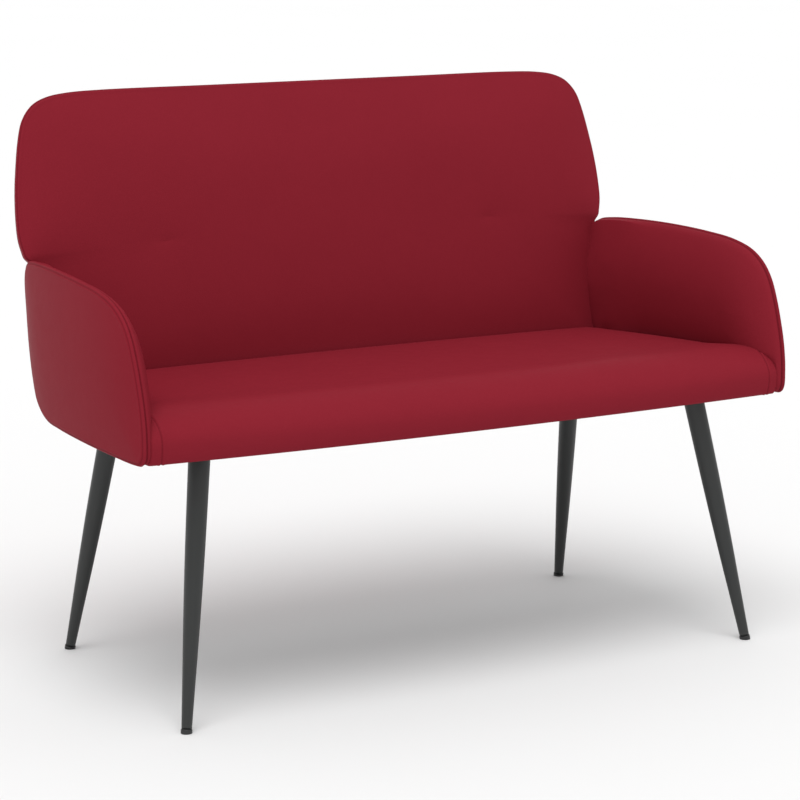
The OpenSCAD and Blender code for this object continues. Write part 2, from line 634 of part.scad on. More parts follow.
// Room for the arm brackets' uprights and screw heads
module arm_bracket_pockets() {
    for (y = arm_bracket_ys) on_arm(y, arm_bracket_n + screw_head_h + fit_gap)
        translate([0, -bracket_w / 2 - fit_gap, plate_low_z])
            cube([plate_t + screw_head_h + overrun, bracket_w + 2 * fit_gap, arm_bracket_h + fit_gap]);
}
// Room for the angle at an arm's rear
module arm_tie_pocket() {
    half_l = tie_arm_l / 2 + fit_gap;
    half_w = bracket_w / 2 + fit_gap;
    on_arm(tie_arm_y, tie_arm_n + screw_head_h + fit_gap) translate([0, -half_l, tie_z - half_w])
        cube([tie_t + screw_head_h + overrun, 2 * half_l, 2 * half_w]);
    tie_back_leg(fit_gap);
}
// Leg of an angle across the back board, ending in the leg along the arm board
module tie_back_leg(g) {
    half_w = bracket_w / 2 + g;
    back_box(tie_end_x - tie_back_l, tie_end_x + g, back_rear_n - g, back_rear_n + tie_t + g,
        tie_w - half_w, tie_w + half_w);
}

module right_arm_board_solid() {
    color(ply) difference() {
        arm_slab(arm_board_n, arm_foam_n, arm_wall_t);
        at_arm_screws(false) screw_hole();
    }
}
module right_arm_foam_solid() {
    color(foam) difference() {
        arm_slab(arm_foam_n, arm_foam_n + arm_foam_t, arm_foam_inset);
        seat_space(seat_cover_t);
        arm_bracket_pockets();
        arm_tie_pocket();
    }
}
module right_arm_cover_solid() {
    color(leather) difference() {
        skin([for (r = arm_rings) [for (p = arm_outline)
            arm_surface_point(ring_point(p, [arm_mid_y, arm_mid_z], r[0]), r[1])]],
            [for (n = [arm_edge_t + arm_pillow, -arm_outer_pillow])
                arm_surface_point([arm_mid_y, arm_mid_z], n)]);
        seat_space(seat_side_gap);
        arm_band(arm_board_n - fit_gap, arm_foam_n + fit_gap, arm_wall_t - fit_gap);
        difference() {
            arm_band(arm_foam_n, arm_foam_n + arm_foam_t + fit_gap, arm_foam_inset - fit_gap);
            seat_space(seat_cover_t - fit_gap);
        }
        arm_bracket_pockets();
        arm_tie_pocket();
    }
}
module left_arm_board() { mirror([1, 0, 0]) right_arm_board_solid(); }
module right_arm_board() { right_arm_board_solid(); }
module left_arm_foam() { mirror([1, 0, 0]) right_arm_foam_solid(); }
module right_arm_foam() { right_arm_foam_solid(); }
module left_arm_cover() { mirror([1, 0, 0]) right_arm_cover_solid(); }
module right_arm_cover() { right_arm_cover_solid(); }

// Legs: s gives the side (-1 left, 1 right) and the row (1 front, -1 rear)

function leg_foot(s) = leg_top(s)
    + (s[1] > 0 ? [s[0] * front_splay_x, -front_splay_y] : [s[0] * rear_splay_x, rear_splay_y]);
// Unit vector up a leg's axis
function leg_axis(s) = let (d = leg_top(s) - leg_foot(s), v = [d[0], d[1], plate_low_z]) v / norm(v);
function leg_length(s) = let (d = leg_top(s) - leg_foot(s)) norm([d[0], d[1], plate_low_z]);
// Places children on a leg's axis, z up the leg from the floor
module on_leg(s) {
    a = leg_axis(s);
    translate([leg_foot(s)[0], leg_foot(s)[1], 0])
        rotate([0, acos(a[2]), atan2(a[1], a[0])]) rotate([0, 0, leg_turn]) children();
}
foot_r = leg_top_d / 2 * leg_profile_shares[0][1];
// Turn of a leg and its glide about their own axis, which keeps their seams off the floor's cut
leg_turn = 45;

module leg(s) {
    l = leg_length(s);
    outer = [for (p = leg_profile_shares) [leg_top_d / 2 * p[1], lerp(glide_l, l, p[0])]];
    tip = [leg_top_d / 2, l + leg_top_d];
    inner = [for (p = reversed(concat(outer, [tip]))) p - [leg_wall, 0]];
    color(steel_black) intersection() {
        on_leg(s) rotate_extrude() polygon(concat(outer, [tip], inner));
        level_below(plate_low_z);
    }
}
// Space from the floor up to height z
module level_below(z) {
    translate([-overall_w, -overall_d, 0]) cube([2 * overall_w, 2 * overall_d, z]);
}
module plate(s) {
    c = plate_centre(s);
    w = plate_w / 2 - plate_r;
    color(steel_black) difference() {
        translate([c[0], c[1], plate_low_z]) union() {
            translate([-w, -plate_w / 2, 0]) cube([2 * w, plate_w, plate_t]);
            translate([-plate_w / 2, -w, 0]) cube([plate_w, 2 * w, plate_t]);
            for (i = [-1, 1], j = [-1, 1]) translate([i * w, j * w, 0]) cylinder(h = plate_t, r = plate_r);
        }
        for (i = [-1, 1], j = [-1, 1])
            translate([c[0] + i * plate_pitch / 2, c[1] + j * plate_pitch / 2, plate_low_z])
                plate_hole(plate_t, bolt_d);
    }
}
// Glide: stem in the tube, and a lip round its end that stands flat on the floor
module glide(s) {
    lip_r = foot_r + glide_lip;
    stem_r = foot_r - leg_wall - close_gap;
    color(cloth_black) intersection() {
        on_leg(s) rotate_extrude() polygon([[0, -lip_r], [lip_r, -lip_r], [lip_r, glide_l],
            [stem_r, glide_l], [stem_r, glide_l + glide_stem_l], [0, glide_l + glide_stem_l]]);
        level_below(plate_low_z);
    }
}
module front_left_leg() { mirror([1, 0, 0]) leg([1, 1]); }
module front_right_leg() { leg([1, 1]); }
module rear_left_leg() { mirror([1, 0, 0]) leg([1, -1]); }
module rear_right_leg() { leg([1, -1]); }
module front_left_plate() { plate([-1, 1]); }
module front_right_plate() { plate([1, 1]); }
module rear_left_plate() { plate([-1, -1]); }
module rear_right_plate() { plate([1, -1]); }
module front_left_glide() { mirror([1, 0, 0]) glide([1, 1]); }
module front_right_glide() { glide([1, 1]); }
module rear_left_glide() { mirror([1, 0, 0]) glide([1, -1]); }
module rear_right_glide() { glide([1, -1]); }

// Brackets

// Bent plate: foot under the seat, upright along the front of the back board
module back_brackets() {
    foot_y = back_bend_y - bracket_foot_l;
    low_w = (plate_low_z - back_base_z) / cos(back_rake);
    n0 = back_board_n - plate_t;
    rise = tan(back_rake);
    profile = [[foot_y, underside_z], [foot_y, plate_low_z],
        back_yz(back_board_n, low_w + back_board_n * rise), back_yz(back_board_n, back_bracket_h),
        back_yz(n0, back_bracket_h), back_yz(n0, low_w + plate_t / cos(back_rake) + n0 * rise)];
    color(zinc) difference() {
        for (x = back_bracket_xs) translate([x - bracket_w / 2, 0, 0]) rotate([90, 0, 90])
            linear_extrude(bracket_w) polygon(profile);
        for (p = back_foot_screws) translate([p[0], p[1], plate_low_z]) plate_hole(plate_t, screw_d);
        at_back_screws(n0) plate_hole(plate_t, screw_d);
    }
}
// Bent plate: foot under the seat, upright along the inner face of an arm board
module arm_brackets() {
    color(zinc) for (side = [0, 1], y = arm_bracket_ys) mirror([side, 0, 0]) on_arm(y, arm_bracket_n)
        difference() {
            union() {
                translate([-bracket_foot_l, -bracket_w / 2, plate_low_z])
                    cube([bracket_foot_l + plate_t, bracket_w, plate_t]);
                translate([0, -bracket_w / 2, plate_low_z]) cube([plate_t, bracket_w, arm_bracket_h]);
            }
            translate([-bracket_foot_l * arm_foot_screw_share, 0, plate_low_z]) plate_hole(plate_t, screw_d);
            translate([0, 0, arm_screw_z]) rotate([0, 90, 0]) plate_hole(plate_t, screw_d);
        }
}
// Angle: one leg on the rear of the back board, one along the inner face of an arm board
module arm_back_brackets() {
    color(zinc) for (side = [0, 1]) mirror([side, 0, 0]) difference() {
        union() {
            tie_back_leg(0);
            on_arm(tie_arm_y, tie_arm_n) translate([0, -tie_arm_l / 2, tie_z - bracket_w / 2])
                cube([tie_t, tie_arm_l, bracket_w]);
        }
        at_tie_screws(back_rear_n + tie_t) plate_hole(tie_t, screw_d);
        on_arm(tie_arm_y, tie_arm_n) translate([0, 0, tie_z]) rotate([0, 90, 0]) plate_hole(tie_t, screw_d);
    }
}

// Fasteners

module leg_bolts() {
    color(zinc) for (p = leg_bolt_places) translate([p[0], p[1], plate_low_z]) leg_bolt();
}
// Threaded inserts that the leg bolts screw into
module leg_inserts() {
    color(zinc) for (p = leg_bolt_places) translate([p[0], p[1], underside_z]) difference() {
        cylinder(h = insert_l, d = insert_d);
        plate_hole(insert_l, bolt_d - 2 * close_gap);
    }
}
module seat_screws() {
    color(zinc) for (p = foot_screws) translate([p[0], p[1], plate_low_z]) screw(plate_t);
}
module back_screws() {
    color(zinc) {
        at_back_screws(back_board_n - plate_t) screw(plate_t);
        at_tie_screws(back_rear_n + tie_t) screw(tie_t);
    }
}
module arm_screws() {
    color(zinc) for (side = [0, 1]) mirror([side, 0, 0]) at_arm_screws(true) screw(tie_t);
}

seat_board();
seat_foam();
seat_cover();
seat_dust_cover();
back_board();
back_foam();
back_cover();
left_arm_board();
right_arm_board();
left_arm_foam();
right_arm_foam();
left_arm_cover();
right_arm_cover();
front_left_leg();
front_right_leg();
rear_left_leg();
rear_right_leg();
front_left_plate();
front_right_plate();
rear_left_plate();
rear_right_plate();
front_left_glide();
front_right_glide();
rear_left_glide();
rear_right_glide();
back_brackets();
arm_brackets();
arm_back_brackets();
leg_bolts();
leg_inserts();
seat_screws();
back_screws();
arm_screws();
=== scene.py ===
"""Looks of a two-seat upholstered sofa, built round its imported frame.

Lengths are metres in the frame's axes: X across the sofa, Y from its front to its rear, Z up from the floor.
"""

import json
import logging
import math
from abc import ABC, abstractmethod
from collections.abc import Callable, Mapping, Sequence
from dataclasses import dataclass
from enum import Enum
from typing import Any

import bpy
import numpy as np
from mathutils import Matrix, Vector

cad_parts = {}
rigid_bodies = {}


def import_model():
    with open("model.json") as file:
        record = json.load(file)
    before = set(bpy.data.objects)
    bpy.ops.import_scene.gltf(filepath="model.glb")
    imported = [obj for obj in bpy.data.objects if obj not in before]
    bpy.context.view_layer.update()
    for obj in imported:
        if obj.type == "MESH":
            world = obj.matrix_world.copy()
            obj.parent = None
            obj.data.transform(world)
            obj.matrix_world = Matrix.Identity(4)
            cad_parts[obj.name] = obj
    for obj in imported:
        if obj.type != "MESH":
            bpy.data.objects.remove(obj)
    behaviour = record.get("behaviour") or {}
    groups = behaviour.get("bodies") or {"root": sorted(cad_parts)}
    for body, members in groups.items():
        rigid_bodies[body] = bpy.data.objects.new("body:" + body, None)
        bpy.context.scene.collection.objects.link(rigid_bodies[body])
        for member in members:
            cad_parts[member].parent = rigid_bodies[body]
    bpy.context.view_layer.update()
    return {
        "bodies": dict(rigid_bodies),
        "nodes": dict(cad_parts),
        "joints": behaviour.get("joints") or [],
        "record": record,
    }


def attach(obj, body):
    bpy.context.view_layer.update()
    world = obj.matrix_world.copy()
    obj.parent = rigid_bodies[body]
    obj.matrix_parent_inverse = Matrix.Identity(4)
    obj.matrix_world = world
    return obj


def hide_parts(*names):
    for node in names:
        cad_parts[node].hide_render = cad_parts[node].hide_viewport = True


Array = np.ndarray
Material = bpy.types.Material
RGBA = tuple[float, float, float, float]
LOG = logging.getLogger("sofa")


# Curves and rings


def lerp(a: Any, b: Any, t: Any) -> Any:
    """The point or number at share t of the way from a to b."""
    return a + (b - a) * t


def smooth_through(points: Array, closed: bool, per_span: int = 16) -> Array:
    """Carries a smooth curve through points.

    Between neighbours b and c it is the blend of a, b, c and d whose knots lie the square root of their
    distances apart (a centripetal spline), so it doesn't overshoot at tight corners.

    Args:
        points: The points, one row each.
        closed: Whether the last joins the first.
        per_span: Samples between two points.

    Returns:
        The curve's samples, one row each.
    """
    if closed:
        a, b, c, d = (np.roll(points, shift, 0) for shift in (1, 0, -1, -2))
    else:
        ends = np.vstack([2 * points[0] - points[1], points, 2 * points[-1] - points[-2]])
        a, b, c, d = ends[:-3], ends[1:-2], ends[2:-1], ends[3:]
    spans = ((a, b), (b, c), (c, d))
    steps = [np.sqrt(np.linalg.norm(q - p, axis=1) + 1e-12)[:, None, None] for p, q in spans]
    k1, k2, k3 = steps[0], steps[0] + steps[1], steps[0] + steps[1] + steps[2]
    t = k1 + np.linspace(0, 1, per_span, endpoint=False)[None, :, None] * (k2 - k1)
    a, b, c, d = (p[:, None, :] for p in (a, b, c, d))
    ab = a * (k1 - t) / k1 + b * t / k1
    bc = b * (k2 - t) / (k2 - k1) + c * (t - k1) / (k2 - k1)
    cd = c * (k3 - t) / (k3 - k2) + d * (t - k2) / (k3 - k2)
    left = ab * (k2 - t) / k2 + bc * t / k2
    right = bc * (k3 - t) / (k3 - k1) + cd * (t - k1) / (k3 - k1)
    curve = (left * (k2 - t) / (k2 - k1) + right * (t - k1) / (k2 - k1)).reshape(-1, points.shape[1])
    return curve if closed else np.vstack([curve, points[-1]])


def along(points: Array) -> Array:
    """The length along a line of points at each of them."""
    return np.concatenate([[0.0], np.cumsum(np.linalg.norm(np.diff(points, axis=0), axis=1))])


def even_steps(points: Array, count: int) -> Array:
    """The line of points again, in count equal steps of its length."""
    lengths = along(points)
    return np.stack([np.interp(np.linspace(0, lengths[-1], count + 1), lengths, c) for c in points.T], axis=1)


def ramp(value: Any, low: float, high: float) -> Any:
    """Rises smoothly from 0 at low to 1 at high."""
    t = np.clip((value - low) / (high - low), 0, 1)
    return t * t * (3 - 2 * t)


def loop_from_ends(outline: Array, step: float) -> Array:
    """Samples a closed outline from its far end over the top to its near end and back below.

    The ends are the outline's points at the middle of its height, so that the top and lower halves stay on
    their own sides of the middle line.

    Args:
        outline: The closed outline, two columns: along and up.
        step: Spacing of the samples, about.

    Returns:
        An even number of points, anticlockwise, the first at the far end.
    """
    half = int(round(along(np.vstack([outline, outline[:1]]))[-1] / step / 2))
    x, y = outline.T
    if np.sum(x * np.roll(y, -1) - np.roll(x, -1) * y) < 0:
        outline = outline[::-1]
    middle = (outline.max(0) + outline.min(0)) / 2
    off = np.abs(outline[:, 1] - middle[1])
    first = int(np.argmin(np.where(outline[:, 0] > middle[0], off, np.inf)))
    outline, off = np.roll(outline, -first, 0), np.roll(off, -first)
    turn = int(np.argmin(np.where(outline[:, 0] < middle[0], off, np.inf)))
    over = even_steps(outline[: turn + 1], half)
    under = even_steps(np.vstack([outline[turn:], outline[:1]]), half)
    return np.vstack([over[:-1], under[:-1]])


def folded(values: Array, axis: int = 0) -> Array:
    """Each point of a loop averaged with its partner across it, so that both halves share a middle line."""
    return (values + np.roll(np.flip(values, axis), 1, axis)) / 2


def middle_line(loop: Array, spine: float) -> Array:
    """The line at mid height on which a pad's rings close: the loop's depths shrunk about their mean.

    One fifth of it is spaced evenly, so that its points don't crowd together at its tips.

    Args:
        loop: The outline's loop.
        spine: Share of the outline's length that the line keeps.

    Returns:
        A point for each of the loop's.
    """
    half = len(loop) // 2
    x = folded(loop[:, 0])
    even = lerp(x[0], x[half], np.abs((np.arange(len(loop)) + half) % len(loop) - half) / half)
    x = lerp(x, even, 0.2)
    height = (loop[:, 1].min() + loop[:, 1].max()) / 2
    return np.stack([lerp(x.mean(), x, spine), np.full(len(loop), height)], axis=1)


def stations(total: float, marks: Sequence[float], finest: float, coarsest: float, growth: float) -> Array:
    """Places along a length: a place at each mark, fine beside the marks and coarser away from them.

    The spacing at distance d from the nearest mark is finest + growth * d, and at most coarsest.

    Args:
        total: The length.
        marks: Lengths at which a place must lie.
        finest: Spacing at a mark.
        coarsest: Largest spacing.
        growth: Growth of the spacing with the distance from a mark.

    Returns:
        The places in order, from 0 to total.
    """
    fine = np.linspace(0, total, 6000)
    away = np.min(np.abs(fine[:, None] - np.asarray(marks)[None, :]), axis=1)
    density = 1 / np.minimum(finest + growth * away, coarsest)
    count = np.concatenate([[0], np.cumsum((density[1:] + density[:-1]) / 2 * np.diff(fine))])
    stops = np.unique(np.concatenate([[0.0], np.asarray(marks), [total]]))
    parts = []
    for low, high in zip(stops[:-1], stops[1:]):
        c0, c1 = np.interp([low, high], fine, count)
        parts.append(np.interp(np.linspace(c0, c1, max(2, int(math.ceil(c1 - c0)) + 1)), count, fine)[:-1])
    return np.concatenate([*parts, [total]])


def cubic_along(values: Array, places: Array, wanted: Array) -> Array:
    """Reads rows of values between their places with a smooth curve.

    Each span is the cubic that has the rows' values and the mean slopes of the spans beside them.

    Args:
        values: One row for each place.
        places: Rising places of the rows.
        wanted: Places to read at.

    Returns:
        One row for each wanted place.
    """
    slopes = np.gradient(values, places, axis=0)
    i = np.clip(np.searchsorted(places, wanted) - 1, 0, len(places) - 2)
    h = (places[i + 1] - places[i])[:, None]
    t = (wanted - places[i])[:, None] / h
    return (
        (2 * t**3 - 3 * t**2 + 1) * values[i]
        + (t**3 - 2 * t**2 + t) * h * slopes[i]
        + (3 * t**2 - 2 * t**3) * values[i + 1]
        + (t**3 - t**2) * h * slopes[i + 1]
    )


def cubic_round(values: Array, count: int) -> Array:
    """Reads columns that run round a loop at even places, with the same smooth curve.

    Args:
        values: One column for each place round the loop.
        count: How many places to read at.

    Returns:
        One column for each of them.
    """
    n, pad = values.shape[1], 4
    wrapped = np.concatenate([values[:, -pad:], values, values[:, :pad]], axis=1).T
    return cubic_along(wrapped, np.arange(-pad, n + pad, dtype=float), np.arange(count) * n / count).T


def crown(t: Array, roll: float, rise: float) -> Array:
    """Height share of a pillow at share t from its middle line (0) to its edge (1): (1 - t^roll)^rise."""
    return np.power(np.clip(1 - np.power(np.clip(t, 0, 1), roll), 0, 1), rise)


def rounded_off(distance: Array, radius: float) -> Array:
    """A quarter circle's fall: 0 from the radius on, and 1 at distance 0."""
    k = np.clip(1 - distance / radius, 0, 1)
    return 1 - np.sqrt(1 - k * k)


def outward(points: Array) -> Array:
    """Unit normals of rings of points: the cross product of the steps round them and from one to the next.

    Args:
        points: The rings.

    Returns:
        A normal for each point, turned away from the middle of them all.
    """
    across = (np.roll(points, -1, 1) - np.roll(points, 1, 1)) / 2
    normals = np.cross(across, np.gradient(points, axis=0))
    normals /= np.linalg.norm(normals, axis=2, keepdims=True) + 1e-12
    turn = np.einsum("ijk,ijk->", normals, points - points.reshape(-1, 3).mean(0))
    return normals if turn > 0 else -normals


def smoothed(values: Array, rounds: int) -> Array:
    """Averages a field on rings with its neighbours, round the rings and from one to the next.

    Args:
        values: The field.
        rounds: How many times.

    Returns:
        The smoother field.
    """
    for _ in range(rounds):
        values = (np.roll(values, 1, 1) + 2 * values + np.roll(values, -1, 1)) / 4
        padded = np.concatenate([values[:1], values, values[-1:]])
        values = (padded[:-2] + 2 * padded[1:-1] + padded[2:]) / 4
    return values


# Meshes


def piece_from(
    name: str, points: Array, faces: Array, uvs: Array | None = None, marks: Mapping[str, Array] | None = None
) -> bpy.types.Object:
    """Makes a smooth-shaded piece from points and faces, with its faces turned outwards.

    Args:
        name: Name of the piece.
        points: Its vertices, one row each.
        faces: Its faces, one row of vertex numbers each.
        uvs: A UV pair for each corner of each face, in order.
        marks: Numbers for each vertex, by attribute name.

    Returns:
        The new object, linked to the scene.
    """
    corners = points[faces]
    volume = np.einsum("ij,ij->i", corners[:, 0], np.cross(corners[:, 1], corners[:, 2])).sum()
    if faces.shape[1] == 4:
        volume += np.einsum("ij,ij->i", corners[:, 0], np.cross(corners[:, 2], corners[:, 3])).sum()
    if volume < 0:
        faces = faces[:, ::-1]
        uvs = None if uvs is None else uvs.reshape(*faces.shape, 2)[:, ::-1].reshape(-1, 2)
    used, numbers = np.unique(faces, return_inverse=True)
    faces = numbers.reshape(faces.shape)
    mesh = bpy.data.meshes.new(name)
    mesh.vertices.add(len(used))
    mesh.vertices.foreach_set("co", points[used].astype(np.float32).ravel())
    mesh.loops.add(faces.size)
    mesh.loops.foreach_set("vertex_index", faces.astype(np.int32).ravel())
    mesh.polygons.add(len(faces))
    mesh.polygons.foreach_set("loop_start", np.arange(0, faces.size, faces.shape[1], dtype=np.int32))
    mesh.update(calc_edges=True)
    if uvs is not None:
        layer = mesh.uv_layers.new(name="UVMap")
        layer.data.foreach_set("uv", uvs.astype(np.float32).ravel())
    for mark, values in (marks or {}).items():
        attribute = mesh.attributes.new(mark, "FLOAT", "POINT")
        attribute.data.foreach_set("value", values[used].astype(np.float32))
    mesh.polygons.foreach_set("use_smooth", np.ones(len(faces), bool))
    mesh.validate()
    piece = bpy.data.objects.new(name, mesh)
    bpy.context.scene.collection.objects.link(piece)
    return piece


class Ends(Enum):
    """How a skin of rings ends."""

    MIDDLE_LINE = "the two halves of each end ring meet on a middle line"
    JOINED = "the last ring joins the first"
    POLES = "each end ring is one point"
    OPEN = "the end rings are edges"
    SHEET = "the rings are open lines, and all four sides are edges"


def ring_numbers(rings: int, round_count: int, ends: Ends) -> Array:
    """Numbers the points ring by ring, with one number for points that meet at an end.

    Args:
        rings: Number of rings.
        round_count: Points round each ring.
        ends: How the skin ends.

    Returns:
        The numbers, one row for each ring.
    """
    numbers = np.arange(rings * round_count).reshape(rings, round_count)
    if ends is Ends.MIDDLE_LINE:
        fold = np.minimum(np.arange(round_count), round_count - np.arange(round_count))
        numbers[0], numbers[-1] = numbers[0, fold], numbers[-1, fold]
    elif ends is Ends.POLES:
        numbers[0], numbers[-1] = numbers[0, 0], numbers[-1, 0]
    return numbers


def ring_faces(rings: int, round_count: int, ends: Ends) -> tuple[Array, Array]:
    """Quads between rings of points.

    Args:
        rings: Number of rings.
        round_count: Points round each ring.
        ends: How the skin ends.

    Returns:
        The faces as numbers of the points, and each corner's ring and place round it.
    """
    rows = np.arange(rings if ends is Ends.JOINED else rings - 1)
    columns = np.arange(round_count - 1 if ends is Ends.SHEET else round_count)
    i, j = (a.ravel() for a in np.meshgrid(rows, columns, indexing="ij"))
    places = np.stack([[i, j], [i, j + 1], [i + 1, j + 1], [i + 1, j]])
    faces = ring_numbers(rings, round_count, ends)[places[:, 0] % rings, places[:, 1] % round_count].T
    return faces, places.transpose(2, 0, 1).reshape(-1, 2)


# Finishes


def _operator(operation: str, swapped: bool = False) -> Callable[["Signal", Any], "Signal"]:
    """Makes an operator: a method that adds one Math node.

    Args:
        operation: The node's operation.
        swapped: Whether the other number comes first.

    Returns:
        The method.
    """

    def method(first: "Signal", second: Any) -> "Signal":
        """The operation of both."""
        numbers = (second, first) if swapped else (first, second)
        return first.graph.out("ShaderNodeMath", {"operation": operation}, dict(enumerate(numbers)))

    return method


class Signal:
    """A node's output. Each operator adds a Math node, so masks are written as plain sums and products."""

    __add__, __radd__ = _operator("ADD"), _operator("ADD", swapped=True)
    __sub__, __rsub__ = _operator("SUBTRACT"), _operator("SUBTRACT", swapped=True)
    __mul__, __rmul__ = _operator("MULTIPLY"), _operator("MULTIPLY", swapped=True)
    __pow__, _sine = _operator("POWER"), _operator("SINE")

    def __init__(self, graph: "Graph", socket: bpy.types.NodeSocket) -> None:
        """Keeps the graph and the socket."""
        self.graph, self.socket = graph, socket

    def wave(self, scale: float) -> "Signal":
        """The sine of self times scale."""
        return (self * scale)._sine(0.0)


class Graph:
    """The node tree of one material."""

    def __init__(self, name: str) -> None:
        """Starts an empty material of that name."""
        self.material = bpy.data.materials.new(name)
        self.material.use_nodes = True
        self.tree = self.material.node_tree
        self.tree.nodes.clear()

    def add(self, kind: str, settings: Mapping[str, Any], inputs: Mapping[Any, Any]) -> bpy.types.Node:
        """Adds a node.

        Args:
            kind: Its type.
            settings: Its settings, set first.
            inputs: Values or signals for its sockets, by name or number.

        Returns:
            The node.
        """
        node = self.tree.nodes.new(kind)
        for name, value in settings.items():
            setattr(node, name, value)
        for key, value in inputs.items():
            if isinstance(value, Signal):
                self.tree.links.new(value.socket, node.inputs[key])
            else:
                node.inputs[key].default_value = value
        return node

    def out(
        self, kind: str, settings: Mapping[str, Any], inputs: Mapping[Any, Any], output: Any = 0
    ) -> Signal:
        """Adds a node and returns one of its outputs."""
        return Signal(self, self.add(kind, settings, inputs).outputs[output])

    def place(self) -> Signal:
        """The point's place on its piece, in metres."""
        return self.out("ShaderNodeTexCoord", {}, {}, "Object")

    def mark(self, name: str) -> Signal:
        """A number that the piece's mesh carries."""
        return self.out("ShaderNodeAttribute", {"attribute_name": name}, {}, "Fac")

    def stretched(self, place: Signal, scale: Sequence[float], turn: float = 0.0) -> Signal:
        """A place scaled along each axis and turned about Z."""
        return self.out("ShaderNodeMapping", {}, {"Vector": place, "Rotation": (0, 0, turn), "Scale": scale})

    def axes(self, vector: Signal) -> list[Signal]:
        """The three numbers of a vector."""
        return [Signal(self, output) for output in self.add("ShaderNodeSeparateXYZ", {}, {0: vector}).outputs]

    def noise(self, place: Signal, scale: float, detail: float = 2.0, roughness: float = 0.5) -> Signal:
        """Soft noise with scale cells to a metre, about 0.5 on average."""
        inputs = {"Vector": place, "Scale": scale, "Detail": detail, "Roughness": roughness}
        return self.out("ShaderNodeTexNoise", {}, inputs)

    def blend(self, share: Any, first: Any, second: Any) -> Signal:
        """A colour between two, by share."""
        return self.out("ShaderNodeMix", {"data_type": "RGBA"}, {0: share, 6: first, 7: second}, 2)

    def finish(self, surface: Mapping[str, Any], height: Signal | None = None, relief: float = 0) -> Material:
        """Adds the surface shader and the output.

        Args:
            surface: Values or signals of the shader's sockets.
            height: A height signal for fine relief.
            relief: What one unit of height stands for, in metres.

        Returns:
            The material.
        """
        inputs = dict(surface)
        if height is not None:
            bump = {"Strength": 1.0, "Distance": relief, "Height": height}
            inputs["Normal"] = self.out("ShaderNodeBump", {}, bump)
        shader = self.out("ShaderNodeBsdfPrincipled", {}, inputs)
        self.add("ShaderNodeOutputMaterial", {}, {"Surface": shader})
        return self.material


@dataclass(frozen=True)
class Leather:
    """Satin faux leather: fine pebbled grain, faint mottling, duller seams, and painted shade and dirt along
    the seam grooves.
    """

    base: RGBA = (0.225, 0.0155, 0.0265, 1)
    mottle: RGBA = (0.202, 0.0135, 0.0235, 1)
    pale: RGBA = (0.272, 0.0240, 0.0350, 1)
    # Colour of the painted shade and dirt in the seam grooves, blended in by the mesh's seam mark.
    seam: RGBA = (0.090, 0.0045, 0.0090, 1)
    roughness: float = 0.42
    shine: float = 0.012
    pebbles: float = 620.0
    grain: float = 0.00018
    pull_pitch: float = 0.0065

    def make(self) -> Material:
        """Builds the material: pebbles and noises for the grain, the mesh's own marks for seams and pulls.

        Returns:
            The material.
        """
        g = Graph("faux_leather")
        place, seam = g.place(), g.mark("seam")
        pebble = {"Vector": place, "Scale": self.pebbles, "Smoothness": 0.6}
        cells = g.out("ShaderNodeTexVoronoi", {"feature": "SMOOTH_F1"}, pebble)
        fine, soft = g.noise(place, 2100.0, 2.0, 0.6), g.noise(place, 9.0)
        clouds = g.noise(place, 46.0, 3.0, 0.55)
        round_seam = g.axes(g.out("ShaderNodeUVMap", {"uv_map": "UVMap"}, {}))[0]
        pull = round_seam.wave(2 * math.pi / self.pull_pitch) * g.mark("pull")
        colour = g.blend(soft * 0.6 + clouds * 0.4, self.base, self.mottle)
        # Painted shade and dirt: the seam mark darkens the colour towards the seam colour along the grooves.
        colour = g.blend(seam, g.blend(cells * 0.25, colour, self.pale), self.seam)
        rough = self.roughness + (clouds - 0.5) * 0.10 + (fine - 0.5) * 0.06 + seam * 0.12
        height = cells * -0.55 + fine * 0.28 + clouds * 0.9 + pull * 0.5
        surface = {"Base Color": colour, "Roughness": rough, "IOR": 1.47, "Specular IOR Level": self.shine}
        return g.finish(surface, height, self.grain)


@dataclass(frozen=True)
class PowderCoat:
    """Charcoal powder coat on steel: orange-peel relief, dust in the roughness, paler worn rims."""

    base: RGBA = (0.0150, 0.0165, 0.0160, 1)
    pale: RGBA = (0.0240, 0.0260, 0.0250, 1)
    roughness: float = 0.44
    grain: float = 0.00010

    def make(self) -> Material:
        """Builds the material: two noises for peel and dust, and the mesh's worn mark.

        Returns:
            The material.
        """
        g = Graph("charcoal_powder_coat")
        place = g.place()
        peel, dust, broad = g.noise(place, 900.0), g.noise(place, 3200.0, 1.0), g.noise(place, 24.0, 3.0)
        colour = g.blend(broad * 0.5 + g.mark("worn") * 0.5, self.base, self.pale)
        rough = self.roughness + (broad - 0.5) * 0.12 + (dust - 0.5) * 0.10
        return g.finish({"Base Color": colour, "Roughness": rough, "IOR": 1.5}, peel + dust * 0.4, self.grain)


@dataclass(frozen=True)
class Moulded:
    """Black moulded plastic, scuffed grey where it stands on the floor."""

    base: RGBA = (0.012, 0.012, 0.013, 1)
    scuff: RGBA = (0.060, 0.058, 0.056, 1)
    grain: float = 0.00008

    def make(self) -> Material:
        """Builds the material: stretched noise for the scuffs, fine noise for the mould's texture.

        Returns:
            The material.
        """
        g = Graph("black_moulded_plastic")
        place = g.place()
        scratches = g.noise(g.stretched(place, (900.0, 160.0, 500.0)), 1.0, 3.0) ** 3.0
        texture = g.noise(place, 1800.0)
        colour = g.blend(scratches * (0.35 + g.mark("worn") * 0.65), self.base, self.scuff)
        return g.finish({"Base Color": colour, "Roughness": 0.5 + (texture - 0.5) * 0.2}, texture, self.grain)


